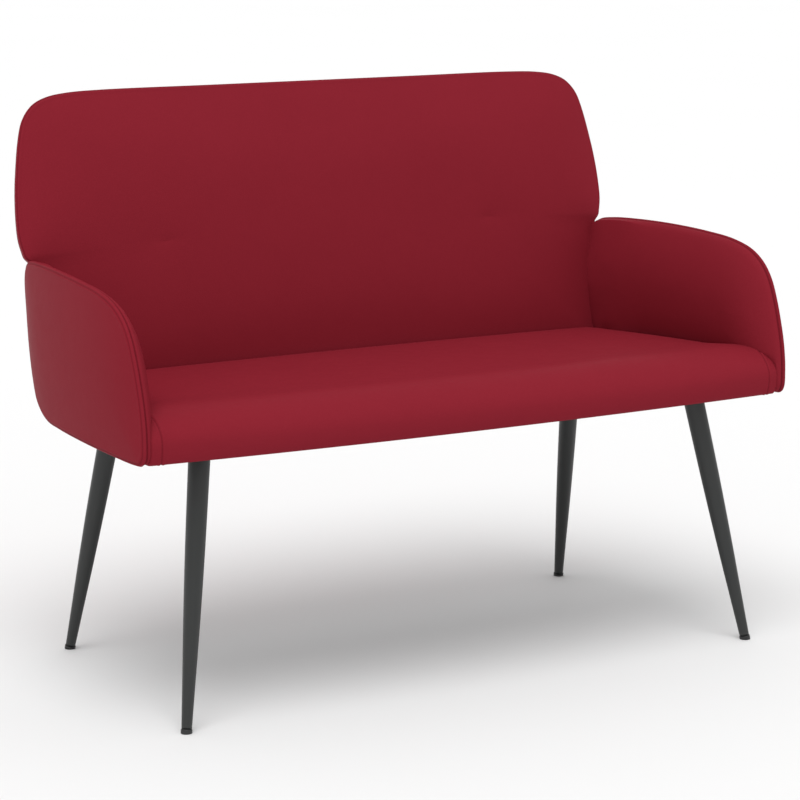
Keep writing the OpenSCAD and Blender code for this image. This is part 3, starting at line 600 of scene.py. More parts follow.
@dataclass(frozen=True)
class DustCloth:
    """Black spun-bonded cloth: a mat of crossing fibres with a grid of small bonded dots."""

    base: RGBA = (0.010, 0.010, 0.012, 1)
    fibre: RGBA = (0.040, 0.040, 0.044, 1)
    dots: float = 700.0
    grain: float = 0.00018

    def make(self) -> Material:
        """Builds the material: two stretched noises for the fibres, a product of sines for the dots.

        Returns:
            The material.
        """
        g = Graph("black_dust_cloth")
        place = g.place()
        strands = [g.noise(g.stretched(place, (260, 2600, 900), turn), 1.0) for turn in (0.6, -0.7)]
        x, y, _ = g.axes(place)
        dot = x.wave(self.dots) * y.wave(self.dots)
        mat = strands[0] * strands[1]
        surface = {"Base Color": g.blend(mat * 2.0, self.base, self.fibre), "Roughness": 0.85 + mat * 0.1}
        return g.finish(surface, mat * 2.0 - dot * dot * 0.6, self.grain)


@dataclass(frozen=True)
class Plywood:
    """Raw birch plywood: long grain on the faces and dark glue lines between the plies at the edges."""

    pale: RGBA = (0.60, 0.42, 0.24, 1)
    dark: RGBA = (0.42, 0.26, 0.13, 1)
    glue: RGBA = (0.16, 0.09, 0.04, 1)
    ply: float = 0.0015
    grain: float = 0.0003

    def make(self) -> Material:
        """Builds the material: noise stretched along X for the grain, a sharp wave across the plies.

        Returns:
            The material.
        """
        g = Graph("birch_plywood")
        place = g.place()
        fibres = g.noise(g.stretched(place, (5, 60, 60)), 1.0, 6.0, 0.62)
        line = (g.axes(place)[2].wave(math.pi / self.ply) ** 2.0) ** 12.0
        colour = g.blend(line * 0.35, g.blend(fibres, self.pale, self.dark), self.glue)
        return g.finish({"Base Color": colour, "Roughness": 0.62 + fibres * 0.15}, fibres, self.grain)


@dataclass(frozen=True)
class Zinc:
    """Zinc-plated steel: soft spangle with rolling lines along the plates."""

    base: RGBA = (0.52, 0.53, 0.54, 1)
    dull: RGBA = (0.36, 0.37, 0.38, 1)
    grain: float = 0.00006

    def make(self) -> Material:
        """Builds the material: cells for the spangle, a stretched noise for the rolling lines.

        Returns:
            The material.
        """
        g = Graph("zinc_plated_steel")
        place = g.place()
        spangle = g.out("ShaderNodeTexVoronoi", {"feature": "F1"}, {"Vector": place, "Scale": 260.0})
        rolled = g.noise(g.stretched(place, (40, 1500, 1500)), 1.0)
        colour = g.blend(spangle * 0.6 + rolled * 0.4, self.base, self.dull)
        rough = 0.28 + spangle * 0.12 + rolled * 0.10
        return g.finish({"Base Color": colour, "Roughness": rough, "Metallic": 1.0}, rolled, self.grain)


@dataclass(frozen=True)
class PaleFloor:
    """Plain pale studio floor with the faintest unevenness."""

    tone: float = 0.82
    dimmer: float = 0.985

    def make(self) -> Material:
        """Builds the material: one broad noise that changes the tone by about 1%.

        Returns:
            The material.
        """
        g = Graph("pale_floor")
        soft = g.noise(g.place(), 0.8)
        colour = g.blend(soft, (*[self.tone] * 3, 1), (*[self.tone * self.dimmer] * 3, 1))
        return g.finish({"Base Color": colour, "Roughness": 0.75 + (soft - 0.5) * 0.05})


class Paints:
    """The sofa's finishes, each made once."""

    def __init__(self) -> None:
        """Makes them."""
        self.leather, self.steel, self.plastic, self.dust_cloth, self.plywood, self.zinc = (
            finish().make() for finish in (Leather, PowderCoat, Moulded, DustCloth, Plywood, Zinc)
        )


# The sofa's shared lines


@dataclass(frozen=True)
class Lines:
    """Lines that several pieces share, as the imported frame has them."""

    arm_half: float = 0.538
    front_y: float = -0.2745
    rear_y: float = 0.2745
    back_top_z: float = 0.838
    back_base_z: float = 0.385
    arm_top_z: float = 0.603
    underside_z: float = 0.380
    rake: float = math.radians(12.2)
    back_edge: float = 0.020
    bow_radius: float = 2.030
    bow_y: float = -0.1645
    seat_bow: float = 0.019
    seat_rear_y: float = 0.1474
    seat_front_half: float = 0.5183
    seat_rear_half: float = 0.4734
    corner: float = 0.0060
    corner_run: tuple[float, float] = (0.02, 0.12)

    def back_face_y(self, z: Any) -> Any:
        """Y of the back's front seam plane at height z."""
        top = self.rear_y - self.back_edge * math.cos(self.rake)
        return top - (self.back_top_z - z) * math.tan(self.rake)

    def on_back(self, x: Array, n: Array, w: Array) -> Array:
        """Points at x, depth n behind the back's seam plane and slope height w: the plane leans by the rake.

        Args:
            x: Places across.
            n: Depths behind the plane.
            w: Heights along the slope.

        Returns:
            The points in the frame's axes.
        """
        c, s = math.cos(self.rake), math.sin(self.rake)
        y = self.back_face_y(self.back_base_z) + n * c + w * s
        return np.stack(np.broadcast_arrays(x, y, self.back_base_z - n * s + w * c), axis=-1)

    def on_arm(self, y: Array, z: Array, n: Array) -> Array:
        """Points at depth n inside the right arm's outer seam: y gives the bow's angle, n its radius.

        Args:
            y: Places along.
            z: Heights.
            n: Depths inside the seam.

        Returns:
            The points in the frame's axes.
        """
        a, r = np.arcsin((y - self.bow_y) / self.bow_radius), self.bow_radius - n
        x = self.arm_half - self.bow_radius + r * np.cos(a)
        return np.stack(np.broadcast_arrays(x, self.bow_y + r * np.sin(a), z), axis=-1)

    def seat_straight(self, y: Any) -> Any:
        """Half width of the seat at depth y, on a straight line from its front corner to its rear one."""
        start = self.front_y + self.seat_bow
        return lerp(self.seat_front_half, self.seat_rear_half, (y - start) / (self.seat_rear_y - start))

    def seat_side(self, y: Any) -> Any:
        """The same half width, a little more at the front corners."""
        low, high = (self.front_y + run for run in self.corner_run)
        return self.seat_straight(y) + self.corner * (1 - ramp(y, low, high))

    def arm_rear_y(self, z: Any) -> Any:
        """Rear edge of the arms at height z."""
        return self.back_face_y(z) + self.back_edge / math.cos(self.rake)


# Padded pieces


@dataclass(frozen=True)
class Seam:
    """A sewn seam across a pad's section: its place, its groove, the soft ridges beside it and the painted
    shade along its line.
    """

    at: float
    depth: float = 0.0011
    width: float = 0.0011
    ridge: float = 0.0005
    reach: float = 0.0032
    shade: float = 0.6
    pull_width: float = 0.0035

    @staticmethod
    def bell(distance: Array, width: float) -> Array:
        """A bell curve: 1 at distance 0 and 1/e at its width."""
        return np.exp(-((distance / width) ** 2))

    def relief(self, s: Array) -> Array:
        """Height over the plain surface at s: a bell-shaped ridge on each side, less a narrow trough."""
        d = np.abs(s - self.at)
        trough = self.depth * self.bell(d, self.width)
        return self.ridge * self.bell(d - self.reach, 0.55 * self.reach) - trough

    def mark(self, s: Array) -> Array:
        """How strongly the seam's painted shade and dirt show at s, from 0 to shade."""
        return self.shade * self.bell(np.abs(s - self.at), 0.9 * self.width)

    def pull(self, s: Array) -> Array:
        """How strongly the leather is pulled towards the seam at s, from 0 to shade."""
        return self.shade * self.bell(np.abs(s - self.at), self.pull_width)


@dataclass(frozen=True)
class Filling:
    """A pad's filling, which swells its faces between its pinned seams by cloth simulation."""

    start: float
    cap: float
    pressure: float = 3.0
    frames: int = 20
    stiffness: float = 18.0

    def heights(self, points: Array, free: Array) -> Array:
        """Lets a ringed skin swell and measures how far.

        Args:
            points: Rings of points on the pad, closed on a middle line at both ends.
            free: From 0, pinned, to 1, free, for each ring and place round it.

        Returns:
            How far each point moved along the surface's normal, softly capped.
        """
        rings, round_count = points.shape[:2]
        faces, _ = ring_faces(rings, round_count, Ends.MIDDLE_LINE)
        used = np.unique(faces)
        piece = piece_from("swelling_skin", points.reshape(-1, 3), faces)
        group = piece.vertex_groups.new(name="pins")
        pins = np.round(1 - free.reshape(-1)[used], 2)
        for level in np.unique(pins[pins > 0]):
            group.add(np.flatnonzero(pins == level).tolist(), float(level), "REPLACE")
        self._soften(piece)
        scene = bpy.context.scene
        for frame in range(1, self.frames + 1):
            scene.frame_set(frame)
        moved = piece.evaluated_get(bpy.context.evaluated_depsgraph_get()).data
        after = np.empty(len(moved.vertices) * 3, np.float32)
        moved.vertices.foreach_get("co", after)
        whole = np.zeros((rings * round_count, 3))
        whole[used] = after.reshape(-1, 3)
        change = whole[ring_numbers(rings, round_count, Ends.MIDDLE_LINE)] - points
        out = np.einsum("ijk,ijk->ij", change, outward(points))
        out[0], out[-1] = out[1], out[-2]
        bpy.data.objects.remove(piece)
        scene.frame_set(1)
        return smoothed(self.cap * np.tanh(out / self.cap), 2) * free

    def _soften(self, piece: bpy.types.Object) -> None:
        """Gives a skin its Cloth settings: pressure from inside, no gravity, pins at the seams.

        Args:
            piece: The skin.
        """
        cloth = piece.modifiers.new("swell", "CLOTH")
        settings = cloth.settings
        settings.quality = 6
        settings.mass = 0.35
        settings.use_pressure = True
        settings.uniform_pressure_force = self.pressure
        settings.tension_stiffness = settings.compression_stiffness = self.stiffness
        settings.shear_stiffness = self.stiffness / 2
        settings.bending_stiffness = 4.0
        settings.vertex_group_mass = "pins"
        settings.effector_weights.gravity = 0.0
        cloth.collision_settings.use_collision = False
        cloth.collision_settings.use_self_collision = False
        cloth.point_cache.frame_start, cloth.point_cache.frame_end = 1, self.frames


class Pad(ABC):
    """A stuffed pad: a closed skin of rings from the middle of one face, round its edge, to the other."""

    name: str
    stands_for: tuple[str, ...]
    filling: Filling
    step: float = 0.004
    finest: float = 0.0007
    swell_step: float = 0.013
    swell_finest: float = 0.006
    coarsest: float = 0.008
    growth: float = 0.2
    pinned: float = 0.012

    def __init__(self, lines: Lines) -> None:
        """Keeps the shared lines."""
        self.lines = lines

    @abstractmethod
    def skin(self, step: float, finest: float, start: float) -> tuple[Array, Array, Array]:
        """Works out the pad's rings.

        Args:
            step: Spacing of the points round the pad.
            finest: Spacing of the rings beside a seam.
            start: Share of its full height that the pad has.

        Returns:
            The rings of points, each ring's place along the section, and where they may swell, from 0 to 1.
        """

    @abstractmethod
    def seams(self) -> list[Seam]:
        """The seams across the section."""

    def ring_places(self, total: float, marks: Sequence[float], finest: float) -> Array:
        """The rings' places along a section: finest at each mark, and coarser away from them."""
        return stations(total, marks, finest, max(self.coarsest, 2 * finest), self.growth)

    def swollen(self) -> tuple[Array, Array]:
        """The pad's rings after its filling has swelled it.

        Returns:
            The rings of points and each ring's place along the section.
        """
        fine, places, _ = self.skin(self.step, self.finest, self.filling.start)
        coarse, coarse_places, free = self.skin(self.swell_step, self.swell_finest, self.filling.start)
        heights = self.filling.heights(coarse, free)
        LOG.info("%s swelled by up to %.1f mm", self.name, heights.max() * 1000)
        heights = cubic_round(cubic_along(heights, coarse_places, places), fine.shape[1])
        return fine + outward(fine) * heights[..., None], places

    def build(self, leather: Material) -> bpy.types.Object:
        """Makes the pad as a piece of the scene: its swollen rings with the seams' relief on them.

        Args:
            leather: Its finish.

        Returns:
            The finished piece.
        """
        points, places = self.swollen()
        flat, seams = np.zeros_like(points[..., 0]), self.seams()
        relief = self.extra_relief(places) + sum(s.relief(places) for s in seams)
        points = self.settle(points + outward(points) * (flat + relief[:, None])[..., None])
        faces, corners = ring_faces(*points.shape[:2], Ends.MIDDLE_LINE)
        along_section = places[np.minimum(corners[:, 0], len(places) - 1)]
        uvs = np.stack([corners[:, 1] * self.step, along_section], axis=1)
        # The seam mark paints shade and dirt into the seam grooves through the leather's colour.
        marks = {
            "seam": (flat + np.max([s.mark(places) for s in seams], axis=0)[:, None]).ravel(),
            "pull": (flat + np.max([s.pull(places) for s in seams], axis=0)[:, None]).ravel(),
        }
        piece = piece_from(self.name, points.reshape(-1, 3), faces, uvs, marks)
        return dress(piece, leather, self.stands_for)

    def extra_relief(self, places: Array) -> Array:
        """Height added along the section, beside the seams' own."""
        return np.zeros_like(places)

    def settle(self, points: Array) -> Array:
        """A last change to the finished points."""
        return points


def dress(
    piece: bpy.types.Object,
    finish: Material,
    stands_for: Sequence[str] = (),
) -> bpy.types.Object:
    """Gives a piece its finish and ties it to the frame.

    Args:
        piece: The piece.
        finish: Its finish.
        stands_for: The CAD nodes that it stands for.

    Returns:
        The piece.
    """
    piece.data.materials.append(finish)
    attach(piece, "root")
    if stands_for:
        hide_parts(*stands_for)
    LOG.info("%s: %d vertices, %d faces", piece.name, len(piece.data.vertices), len(piece.data.polygons))
    return piece


class OutlinedPad(Pad):
    """A pad drawn from an outline: rings run from a middle line to the outline and back on the other face."""

    pillow: float
    far_pillow: float
    edge: float
    roll: float
    rise: float
    puff: float
    taper: float
    reach: float
    spine: float = 0.56
    full_roll: float = 14.0
    full_rise: float = 0.6
    plump: float = 0.0
    samples: int = 700

    @abstractmethod
    def outline(self) -> Array:
        """The closed outline, in the pad's own plane."""

    @abstractmethod
    def place(self, plan: Array, depth: Array) -> Array:
        """Points of the plane at depths, in the frame's axes."""

    def section(self, start: float) -> tuple[Array, Array, Array]:
        """The cut: one pillow's crown, the puffed edge as half a sine wave, and the other pillow's crown.

        Args:
            start: Share of the near pillow's height that the cut has.

        Returns:
            Along the cut from the near face's middle to the far face's: the shares of the way from the middle
            line to the outline, the depths, and the lengths.
        """
        t = 1 - np.linspace(1, 0, self.samples) ** 3
        near = -self.pillow * start * crown(t, self.roll, self.rise)
        e = np.linspace(0, 1, 80)[1:-1]
        far_share = 1 - self.taper / self.reach
        edge = lerp(1, far_share, e) + self.puff * np.sin(math.pi * e) / self.reach
        far = self.edge + self.far_pillow * crown(t[::-1], self.roll, self.rise)
        shares = np.concatenate([t, edge, t[::-1] * far_share])
        depths = np.concatenate([near, self.edge * e, far])
        return shares, depths, along(np.stack([shares * self.reach, depths], axis=1))

    def corners(self, start: float = 1.0) -> tuple[float, float, float]:
        """Lengths along the cut to the near edge, to the far edge and to its end."""
        lengths = self.section(start)[2]
        return lengths[self.samples - 1], lengths[-self.samples], lengths[-1]

    def skin(self, step: float, finest: float, start: float) -> tuple[Array, Array, Array]:
        """Works out the rings: each is the outline drawn to its middle line by the cut's share, at its depth.

        Args:
            step: Spacing of the points round the pad.
            finest: Spacing of the rings beside a seam.
            start: Share of its full height that the pad has.

        Returns:
            The rings of points, each ring's place along the section, and where they may swell, from 0 to 1.
        """
        near, far, total = self.corners()
        places = self.ring_places(total, sorted({near, far, *(s.at for s in self.seams())}), finest)
        shares, depths, lengths = self.section(start)
        scaled = np.interp(places, [0, near, far, total], [0, *self.corners(start)])
        shares, depths = np.interp(scaled, lengths, shares), np.interp(scaled, lengths, depths)
        loop = loop_from_ends(smooth_through(self.outline(), closed=True), step)
        middle = middle_line(loop, self.spine)
        plan = middle + (loop - middle) * shares[:, None, None]
        edge_away = np.minimum(np.abs(places - near), np.abs(places - far))
        on_edge = (places > near - 1e-6) & (places < far + 1e-6)
        free = np.where(on_edge, 0, np.clip(edge_away / self.pinned, 0, 1))
        full = (1 + self.plump * shares**2) * crown(shares, self.full_roll, self.full_rise)
        tighter = full - crown(shares, self.roll, self.rise)
        near_face = np.where(places < near, self.pillow * start * tighter, 0)
        depth = depths[:, None] - near_face[:, None] * self.fullness(loop)
        return self.place(plan, depth), places, np.repeat(free[:, None], len(loop), axis=1)

    def fullness(self, loop: Array) -> Array:
        """How far the near pillow stays full up to each point of the outline, from 0 to 1."""
        return np.zeros(len(loop))


class BackCushion(OutlinedPad):
    """The raked back: a broad shallow pillow in front, a flatter one behind and a piped edge between.

    Each row of shares is a point of half the outline: its X as shares of the half widths above and between
    the arms, and its height as shares of the heights up to the arms' tops and from there to the back's top.
    """

    name = "back_cushion"
    stands_for = ("back_cover", "back_foam")
    filling = Filling(start=0.86, cap=0.0035)
    pillow, far_pillow, edge, roll, rise = 0.021, 0.005, 0.020, 4.0, 0.9
    puff, taper, reach = 0.0014, 0.005, 0.2317
    half: float = 0.5105
    low_half: float = 0.4719
    shares: tuple[tuple[float, float, float, float], ...] = (
        (0, 0, 0, 0), (0, 0.45, 0, 0), (0, 0.86, 0, 0), (0, 0.97, 0.008, 0), (0, 0.994, 0.04, 0),
        (0, 1, 0.12, 0), (0, 1.004, 0.24, 0), (0, 1.012, 0.45, 0), (0, 1.02, 0.62, 0), (0, 1.03, 0.76, 0),
        (0.42, 0.58, 0.87, 0), (0.5, 0.5, 0.92, 0), (0.64, 0.36, 0.962, 0), (0.83, 0.17, 1, 0),
        (0.992, 0, 1, 0.036), (0.999, 0, 1, 0.11), (1, 0, 1, 0.22), (0.994, 0, 1, 0.4),
        (0.982, 0, 1, 0.57), (0.968, 0, 1, 0.72), (0.953, 0, 1, 0.825), (0.935, 0, 1, 0.885),
        (0.91, 0, 1, 0.933), (0.868, 0, 1, 0.97), (0.805, 0, 1, 0.991), (0.7, 0, 1, 1), (0.34, 0, 1, 1),
        (0, 0, 1, 1),
    )

    def outline(self) -> Array:
        """Half the outline from its shares of the widths and heights, and its mirror image.

        Returns:
            The outline's points.
        """
        notch, length = (z - self.lines.back_base_z for z in (self.lines.arm_top_z, self.lines.back_top_z))
        p = np.array(self.shares)
        x = p[:, 0] * self.half + p[:, 1] * self.low_half
        w = (p[:, 2] * notch + p[:, 3] * (length - notch)) / math.cos(self.lines.rake)
        half = np.stack([x, w], axis=1)
        return np.vstack([half, half[-2:0:-1] * [-1, 1]])

    def place(self, plan: Array, depth: Array) -> Array:
        """The plane leans back with the rake."""
        return self.lines.on_back(plan[..., 0], depth, plan[..., 1])

    def seams(self) -> list[Seam]:
        """A seam at each side of the edge."""
        near, far, _ = self.corners()
        return [Seam(near, depth=0.0013, ridge=0.0007), Seam(far)]


class RightArm(OutlinedPad):
    """The right arm: a deep pillow inside, a flat one outside and a piped edge that bows with the arm.

    Each pair of shares is a point of the outline: along from the arm's front to its rear, and up its height.
    """

    name = "right_arm_cushion"
    stands_for = ("right_arm_cover", "right_arm_foam")
    filling = Filling(start=0.92, cap=0.0022)
    pillow, far_pillow, edge, roll, rise = 0.028, 0.006, 0.017, 2.6, 0.95
    puff, taper, reach, plump = 0.0014, 0.0, 0.1115, 0.06
    side: int = 1
    gap: float = 0.0004
    setback: float = 0.018
    front_run: float = 0.12
    pipe: float = 0.0070
    pipe_rise: float = 0.0022
    board: float = 0.0150
    fall: float = 0.005
    rear_reach: float = 0.010
    low_reach: float = 0.005
    flatter: float = 0.35
    shares: tuple[tuple[float, float], ...] = (
        (0.06, 0), (0.018, 0.011), (0.003, 0.05), (0, 0.135), (0.003, 0.235), (0.013, 0.35), (0.031, 0.48),
        (0.053, 0.61), (0.082, 0.74), (0.119, 0.835), (0.181, 0.915), (0.28, 0.966), (0.42, 0.989), (0.6, 1),
        (0.77, 0.996), (0.88, 0.983), (0.94, 0.962), (0.976, 0.92), (0.995, 0.85), (1, 0.77), (1, 0.68),
        (1, 0.45), (0.99, 0.31), (0.974, 0.2), (0.944, 0.09), (0.9, 0.04), (0.83, 0.005), (0.7, 0), (0.48, 0),
        (0.26, 0),
    )

    def outline(self) -> Array:
        """The outline from its shares of the arm's length and height.

        Returns:
            The outline's points.
        """
        p = np.array(self.shares)
        z = lerp(self.lines.underside_z, self.lines.arm_top_z, p[:, 1])
        y = lerp(self.lines.front_y + self.setback, self.lines.arm_rear_y(z), p[:, 0])
        return np.stack([y, z], axis=1)

    def place(self, plan: Array, depth: Array) -> Array:
        """Bends the plane round the bow; the near face is the inner one, so depth counts from the inner seam.

        Along the top and the front, the edge falls away from the pipe towards the inside. At the rear, the
        inside reaches back beside the back cushion, most of all low down.

        Args:
            plan: Points of the arm's plane: along and up.
            depth: Depth of each behind the inner seam.

        Returns:
            The points in the frame's axes.
        """
        y, z = plan[..., 0], plan[..., 1]
        flattened = 1 - self.flatter * ramp(y, 0.06, 0.16) * ramp(z, 0.52, 0.60)
        n = self.edge - np.where(depth < 0, depth * flattened, depth)
        fall = self.fall * np.clip((n - self.pipe) / (self.edge - self.pipe), 0, 1) ** 2
        start = self.lines.front_y + self.setback
        ahead = fall * (1 - ramp(y, start, start + self.front_run))
        reach = self.rear_reach * (1 - ramp(z, 0.53, 0.58)) + self.low_reach * (1 - ramp(z, 0.42, 0.47))
        back = reach * np.clip(n / self.edge, 0, 1) ** 2 * ramp(y, 0.10, 0.16)
        down = fall * ramp(z, 0.47, 0.60) * (1 - ramp(y, 0.06, 0.14))
        return self.lines.on_arm(y + back + ahead, z - down, n) * [self.side, 1, 1]

    def fullness(self, loop: Array) -> Array:
        """The pillow stays full low at the rear, where the back's side presses into it."""
        return ramp(loop[:, 0], 0.05, 0.17) * (1 - ramp(loop[:, 1], 0.49, 0.605))

    def settle(self, points: Array) -> Array:
        """Below its top, the seat's end presses the pillow flat, at most against the arm's board.

        Args:
            points: The arm's points.

        Returns:
            The points after the press.
        """
        y, z = points[..., 1], points[..., 2]
        against_board = self.lines.on_arm(y, z, np.full_like(y, self.board))[..., 0]
        limit = np.minimum(self.lines.seat_side(y) + self.gap, against_board)
        short = np.clip(limit - np.abs(points[..., 0]), 0, None)
        pushed = short * (1 - ramp(z, 0.415, 0.440)) * (1 - ramp(y, 0.140, 0.153))
        return points + pushed[..., None] * [self.side, 0, 0]

    def seams(self) -> list[Seam]:
        """The outer seam, and a shallow one that closes the pipe beside it."""
        far = self.corners()[1]
        outer = Seam(far, depth=0.0011, width=0.0010, ridge=0.0003, shade=0.5)
        return [outer, Seam(far - self.pipe, depth=0.0014, width=0.0012, ridge=0.0002)]

    def extra_relief(self, places: Array) -> Array:
        """The pipe: half a sine wave between the two seams."""
        across = (places - self.corners()[1] + self.pipe) / self.pipe
        return self.pipe_rise * np.sin(math.pi * np.clip(across, 0, 1))


class LeftArm(RightArm):
    """The left arm: the right one's mirror image."""

    name = "left_arm_cushion"
    stands_for = ("left_arm_cover", "left_arm_foam")
    side: int = -1


class SeatCushion(Pad):
    """The seat: a full front roll, a top that falls to the rear and to both ends, and sewn end panels.

    Each row of tuck shares is a point below the front edge: its depth in the tuck, its height up to the nose
    and how far it hangs with the lip.
    """

    name = "seat_cushion"
    stands_for = ("seat_cover", "seat_foam")
    filling = Filling(start=0.97, cap=0.0022)
    front_z: float = 0.4495
    rear_z: float = 0.434
    crown_drop: float = 0.004
    roll_depth: float = 0.064
    nose_height: float = 0.026
    tuck_depth: float = 0.012
    lip: float = 0.0025
    under: float = 0.0006
    rear_roll: float = 0.009
    rear_edge: float = 0.0015
    end_round: float = 0.005
    end_fall: float = 0.038
    end_drop: float = 0.014
    cap: float = 0.034
    panel: float = 0.018
    far_panel: float = 0.0025
    panel_run: float = 0.075
    swell: float = 0.0022
    press: float = 0.0010
    least_ahead: float = 0.0073
    panel_bend: float = 0.46
    panel_front: tuple[float, float] = (0.72, 0.22)
    level_front: float = 0.8
    front_ramp: tuple[float, float] = (0.68, 0.83)
    free_from: float = 0.12
    free_height: float = 0.3
    spine: float = 0.6
    tuck_shares: tuple[tuple[float, float, float], ...] = (
        (1.5, 0, 0), (1.2, 0, 0.55), (0.9, 0, 1), (0.62, 0.035, 1), (0.36, 0.16, 0.7), (0.13, 0.46, 0.25),
    )

    def rear_y(self, z: Any) -> Array:
        """Y of the rear face: near the frame's plane below, pressed a little into the back's pillow above.

        Args:
            z: Heights.

        Returns:
            The face's Y at each.
        """
        slope = math.cos(self.lines.rake)
        w = np.clip((np.asarray(z) - self.lines.back_base_z) / slope, 0, None)
        pillow = BackCushion.pillow * crown(1 - w / BackCushion.reach, BackCushion.roll, BackCushion.rise)
        return self.lines.back_face_y(z) - np.maximum(self.least_ahead, pillow - self.press) / slope

    def loop(self, step: float, start: float) -> Array:
        """The middle cut: flat below, tucked and rolled in front, a swelling top and a small rear roll.

        Args:
            step: Spacing of its points.
            start: Share of its height that the top has.

        Returns:
            The closed cut, depth and height.
        """
        low, y0 = self.lines.underside_z - self.under, self.lines.front_y
        back, up, hang = np.array(self.tuck_shares).T
        tuck = np.stack([y0 + back * self.tuck_depth, low + up * self.nose_height - hang * self.lip], 1)
        a = np.radians(np.arange(0, 91, 6))
        nose = self.lines.underside_z + self.nose_height
        roll = np.stack([y0 + self.roll_depth * (1 - np.cos(a)), nose + (self.front_z - nose) * np.sin(a)], 1)
        s = np.linspace(0, 1, 24)[1:-1]
        top_z = lerp(self.front_z, self.rear_z, s) + 4 * self.swell * s * (1 - s)
        top = np.stack([lerp(y0 + self.roll_depth, self.rear_y(self.rear_z) - self.rear_roll, s), top_z], 1)
        b = np.radians(np.arange(90, -1, -10))
        z = self.rear_z - self.rear_roll * (1 - np.sin(b))
        rear = np.stack([self.rear_y(z) - self.rear_roll * (1 - np.cos(b)), z], 1)
        z = np.linspace(z[-1], low + 0.002, 12)[1:]
        face = np.stack([self.rear_y(z), z], 1)
        edge_y = self.rear_y(low) - self.rear_edge
        bottom_y = np.linspace(edge_y, tuck[0, 0], 12)[:-1]
        bottom = np.stack([bottom_y, np.full_like(bottom_y, low)], 1)
        cut = np.vstack([tuck, roll, top, rear, face, bottom])
        cut[:, 1] = low + (cut[:, 1] - low) * start
        return loop_from_ends(smooth_through(cut, closed=True, per_span=6), step)

    def seams(self) -> list[Seam]:
        """A seam at each end, where the end panel meets the top."""
        at, total = self.cap + self.panel, 2 * self.cap + 2 * self.lines.seat_front_half
        return [Seam(s, depth=0.0007, width=0.0009, ridge=0.0007, shade=0.4) for s in (at, total - at)]

    def from_ends(self, rings: Array, ahead: Array, up: Array) -> Array:
        """Distance from the nearer end, where the end panel narrows towards the rear and towards its top.

        Args:
            rings: Each ring's own distance from the end.
            ahead: Share of the depth in front of the rear, for each point round.
            up: Share of the height, for each point round.

        Returns:
            The distances, one row for each ring.
        """
        over = np.clip(up - self.panel_bend, 0, 1) / (1 - self.panel_bend)
        start, length = self.panel_front
        wide = np.sqrt(np.clip(1 - over**2, 0, 1)) * np.clip((ahead - start) / length, 0, 1) ** 2
        panel, run = lerp(self.far_panel, self.panel, wide), self.panel_run
        beyond = panel + (rings - self.panel) * (run - panel) / (run - self.panel)
        near = np.where(rings < self.panel, rings * panel / self.panel, beyond)
        return np.clip(np.where(rings < run, near, rings), 0, None)

    def skin(self, step: float, finest: float, start: float) -> tuple[Array, Array, Array]:
        """Works out the rings: cuts across the seat, moved back and down at its ends, then drawn to a line.

        Args:
            step: Spacing of the points round the pad.
            finest: Spacing of the rings beside a seam.
            start: Share of its full height that the pad has.

        Returns:
            The rings of points, each ring's place along the section, and where they may swell, from 0 to 1.
        """
        half = self.lines.seat_front_half
        total = 2 * self.cap + 2 * half
        marks = sorted({self.cap, total - self.cap, *(s.at for s in self.seams())})
        places = self.ring_places(total, marks, finest)
        cut = self.loop(step, start)
        low, front, rear = self.lines.underside_z - self.under, cut[:, 0].min(), cut[:, 0].max()
        ahead = (rear - cut[:, 0]) / (rear - front)
        up = np.clip((cut[:, 1] - low) / (self.front_z - low), 0, 1)
        nearer = np.minimum(places, total - places)[:, None]
        dist = self.from_ends(nearer - self.cap, ahead, up)
        u = 1 - dist / half
        inset = self.end_round * rounded_off(dist, self.end_round)
        drop = self.end_drop * rounded_off(dist, self.end_fall) + self.crown_drop * u * u
        drop = drop * (1 - self.level_front * ramp(ahead, *self.front_ramp))
        y = cut[:, 0] + (self.lines.seat_bow * u * u + inset) * ahead
        z = cut[:, 1] - up * drop
        x = u * self.lines.seat_side(y) * np.where(places > total / 2, 1, -1)[:, None]
        share = np.clip(nearer / self.cap, 0, 1)
        x = lerp(folded(x, 1), x, share)
        y = lerp(folded(lerp(y.mean(1, keepdims=True), y, self.spine), 1), y, share)
        z = lerp(z.mean(1, keepdims=True), z, share)
        away = np.min(np.abs(places[:, None] - np.array(marks)), axis=1)[:, None]
        above = np.clip((up - self.free_from) / self.free_height, 0, 1)
        free = np.clip(away / self.pinned, 0, 1) * (share >= 1) * above
        return np.stack([x, y, z], axis=-1), places, free


# Legs


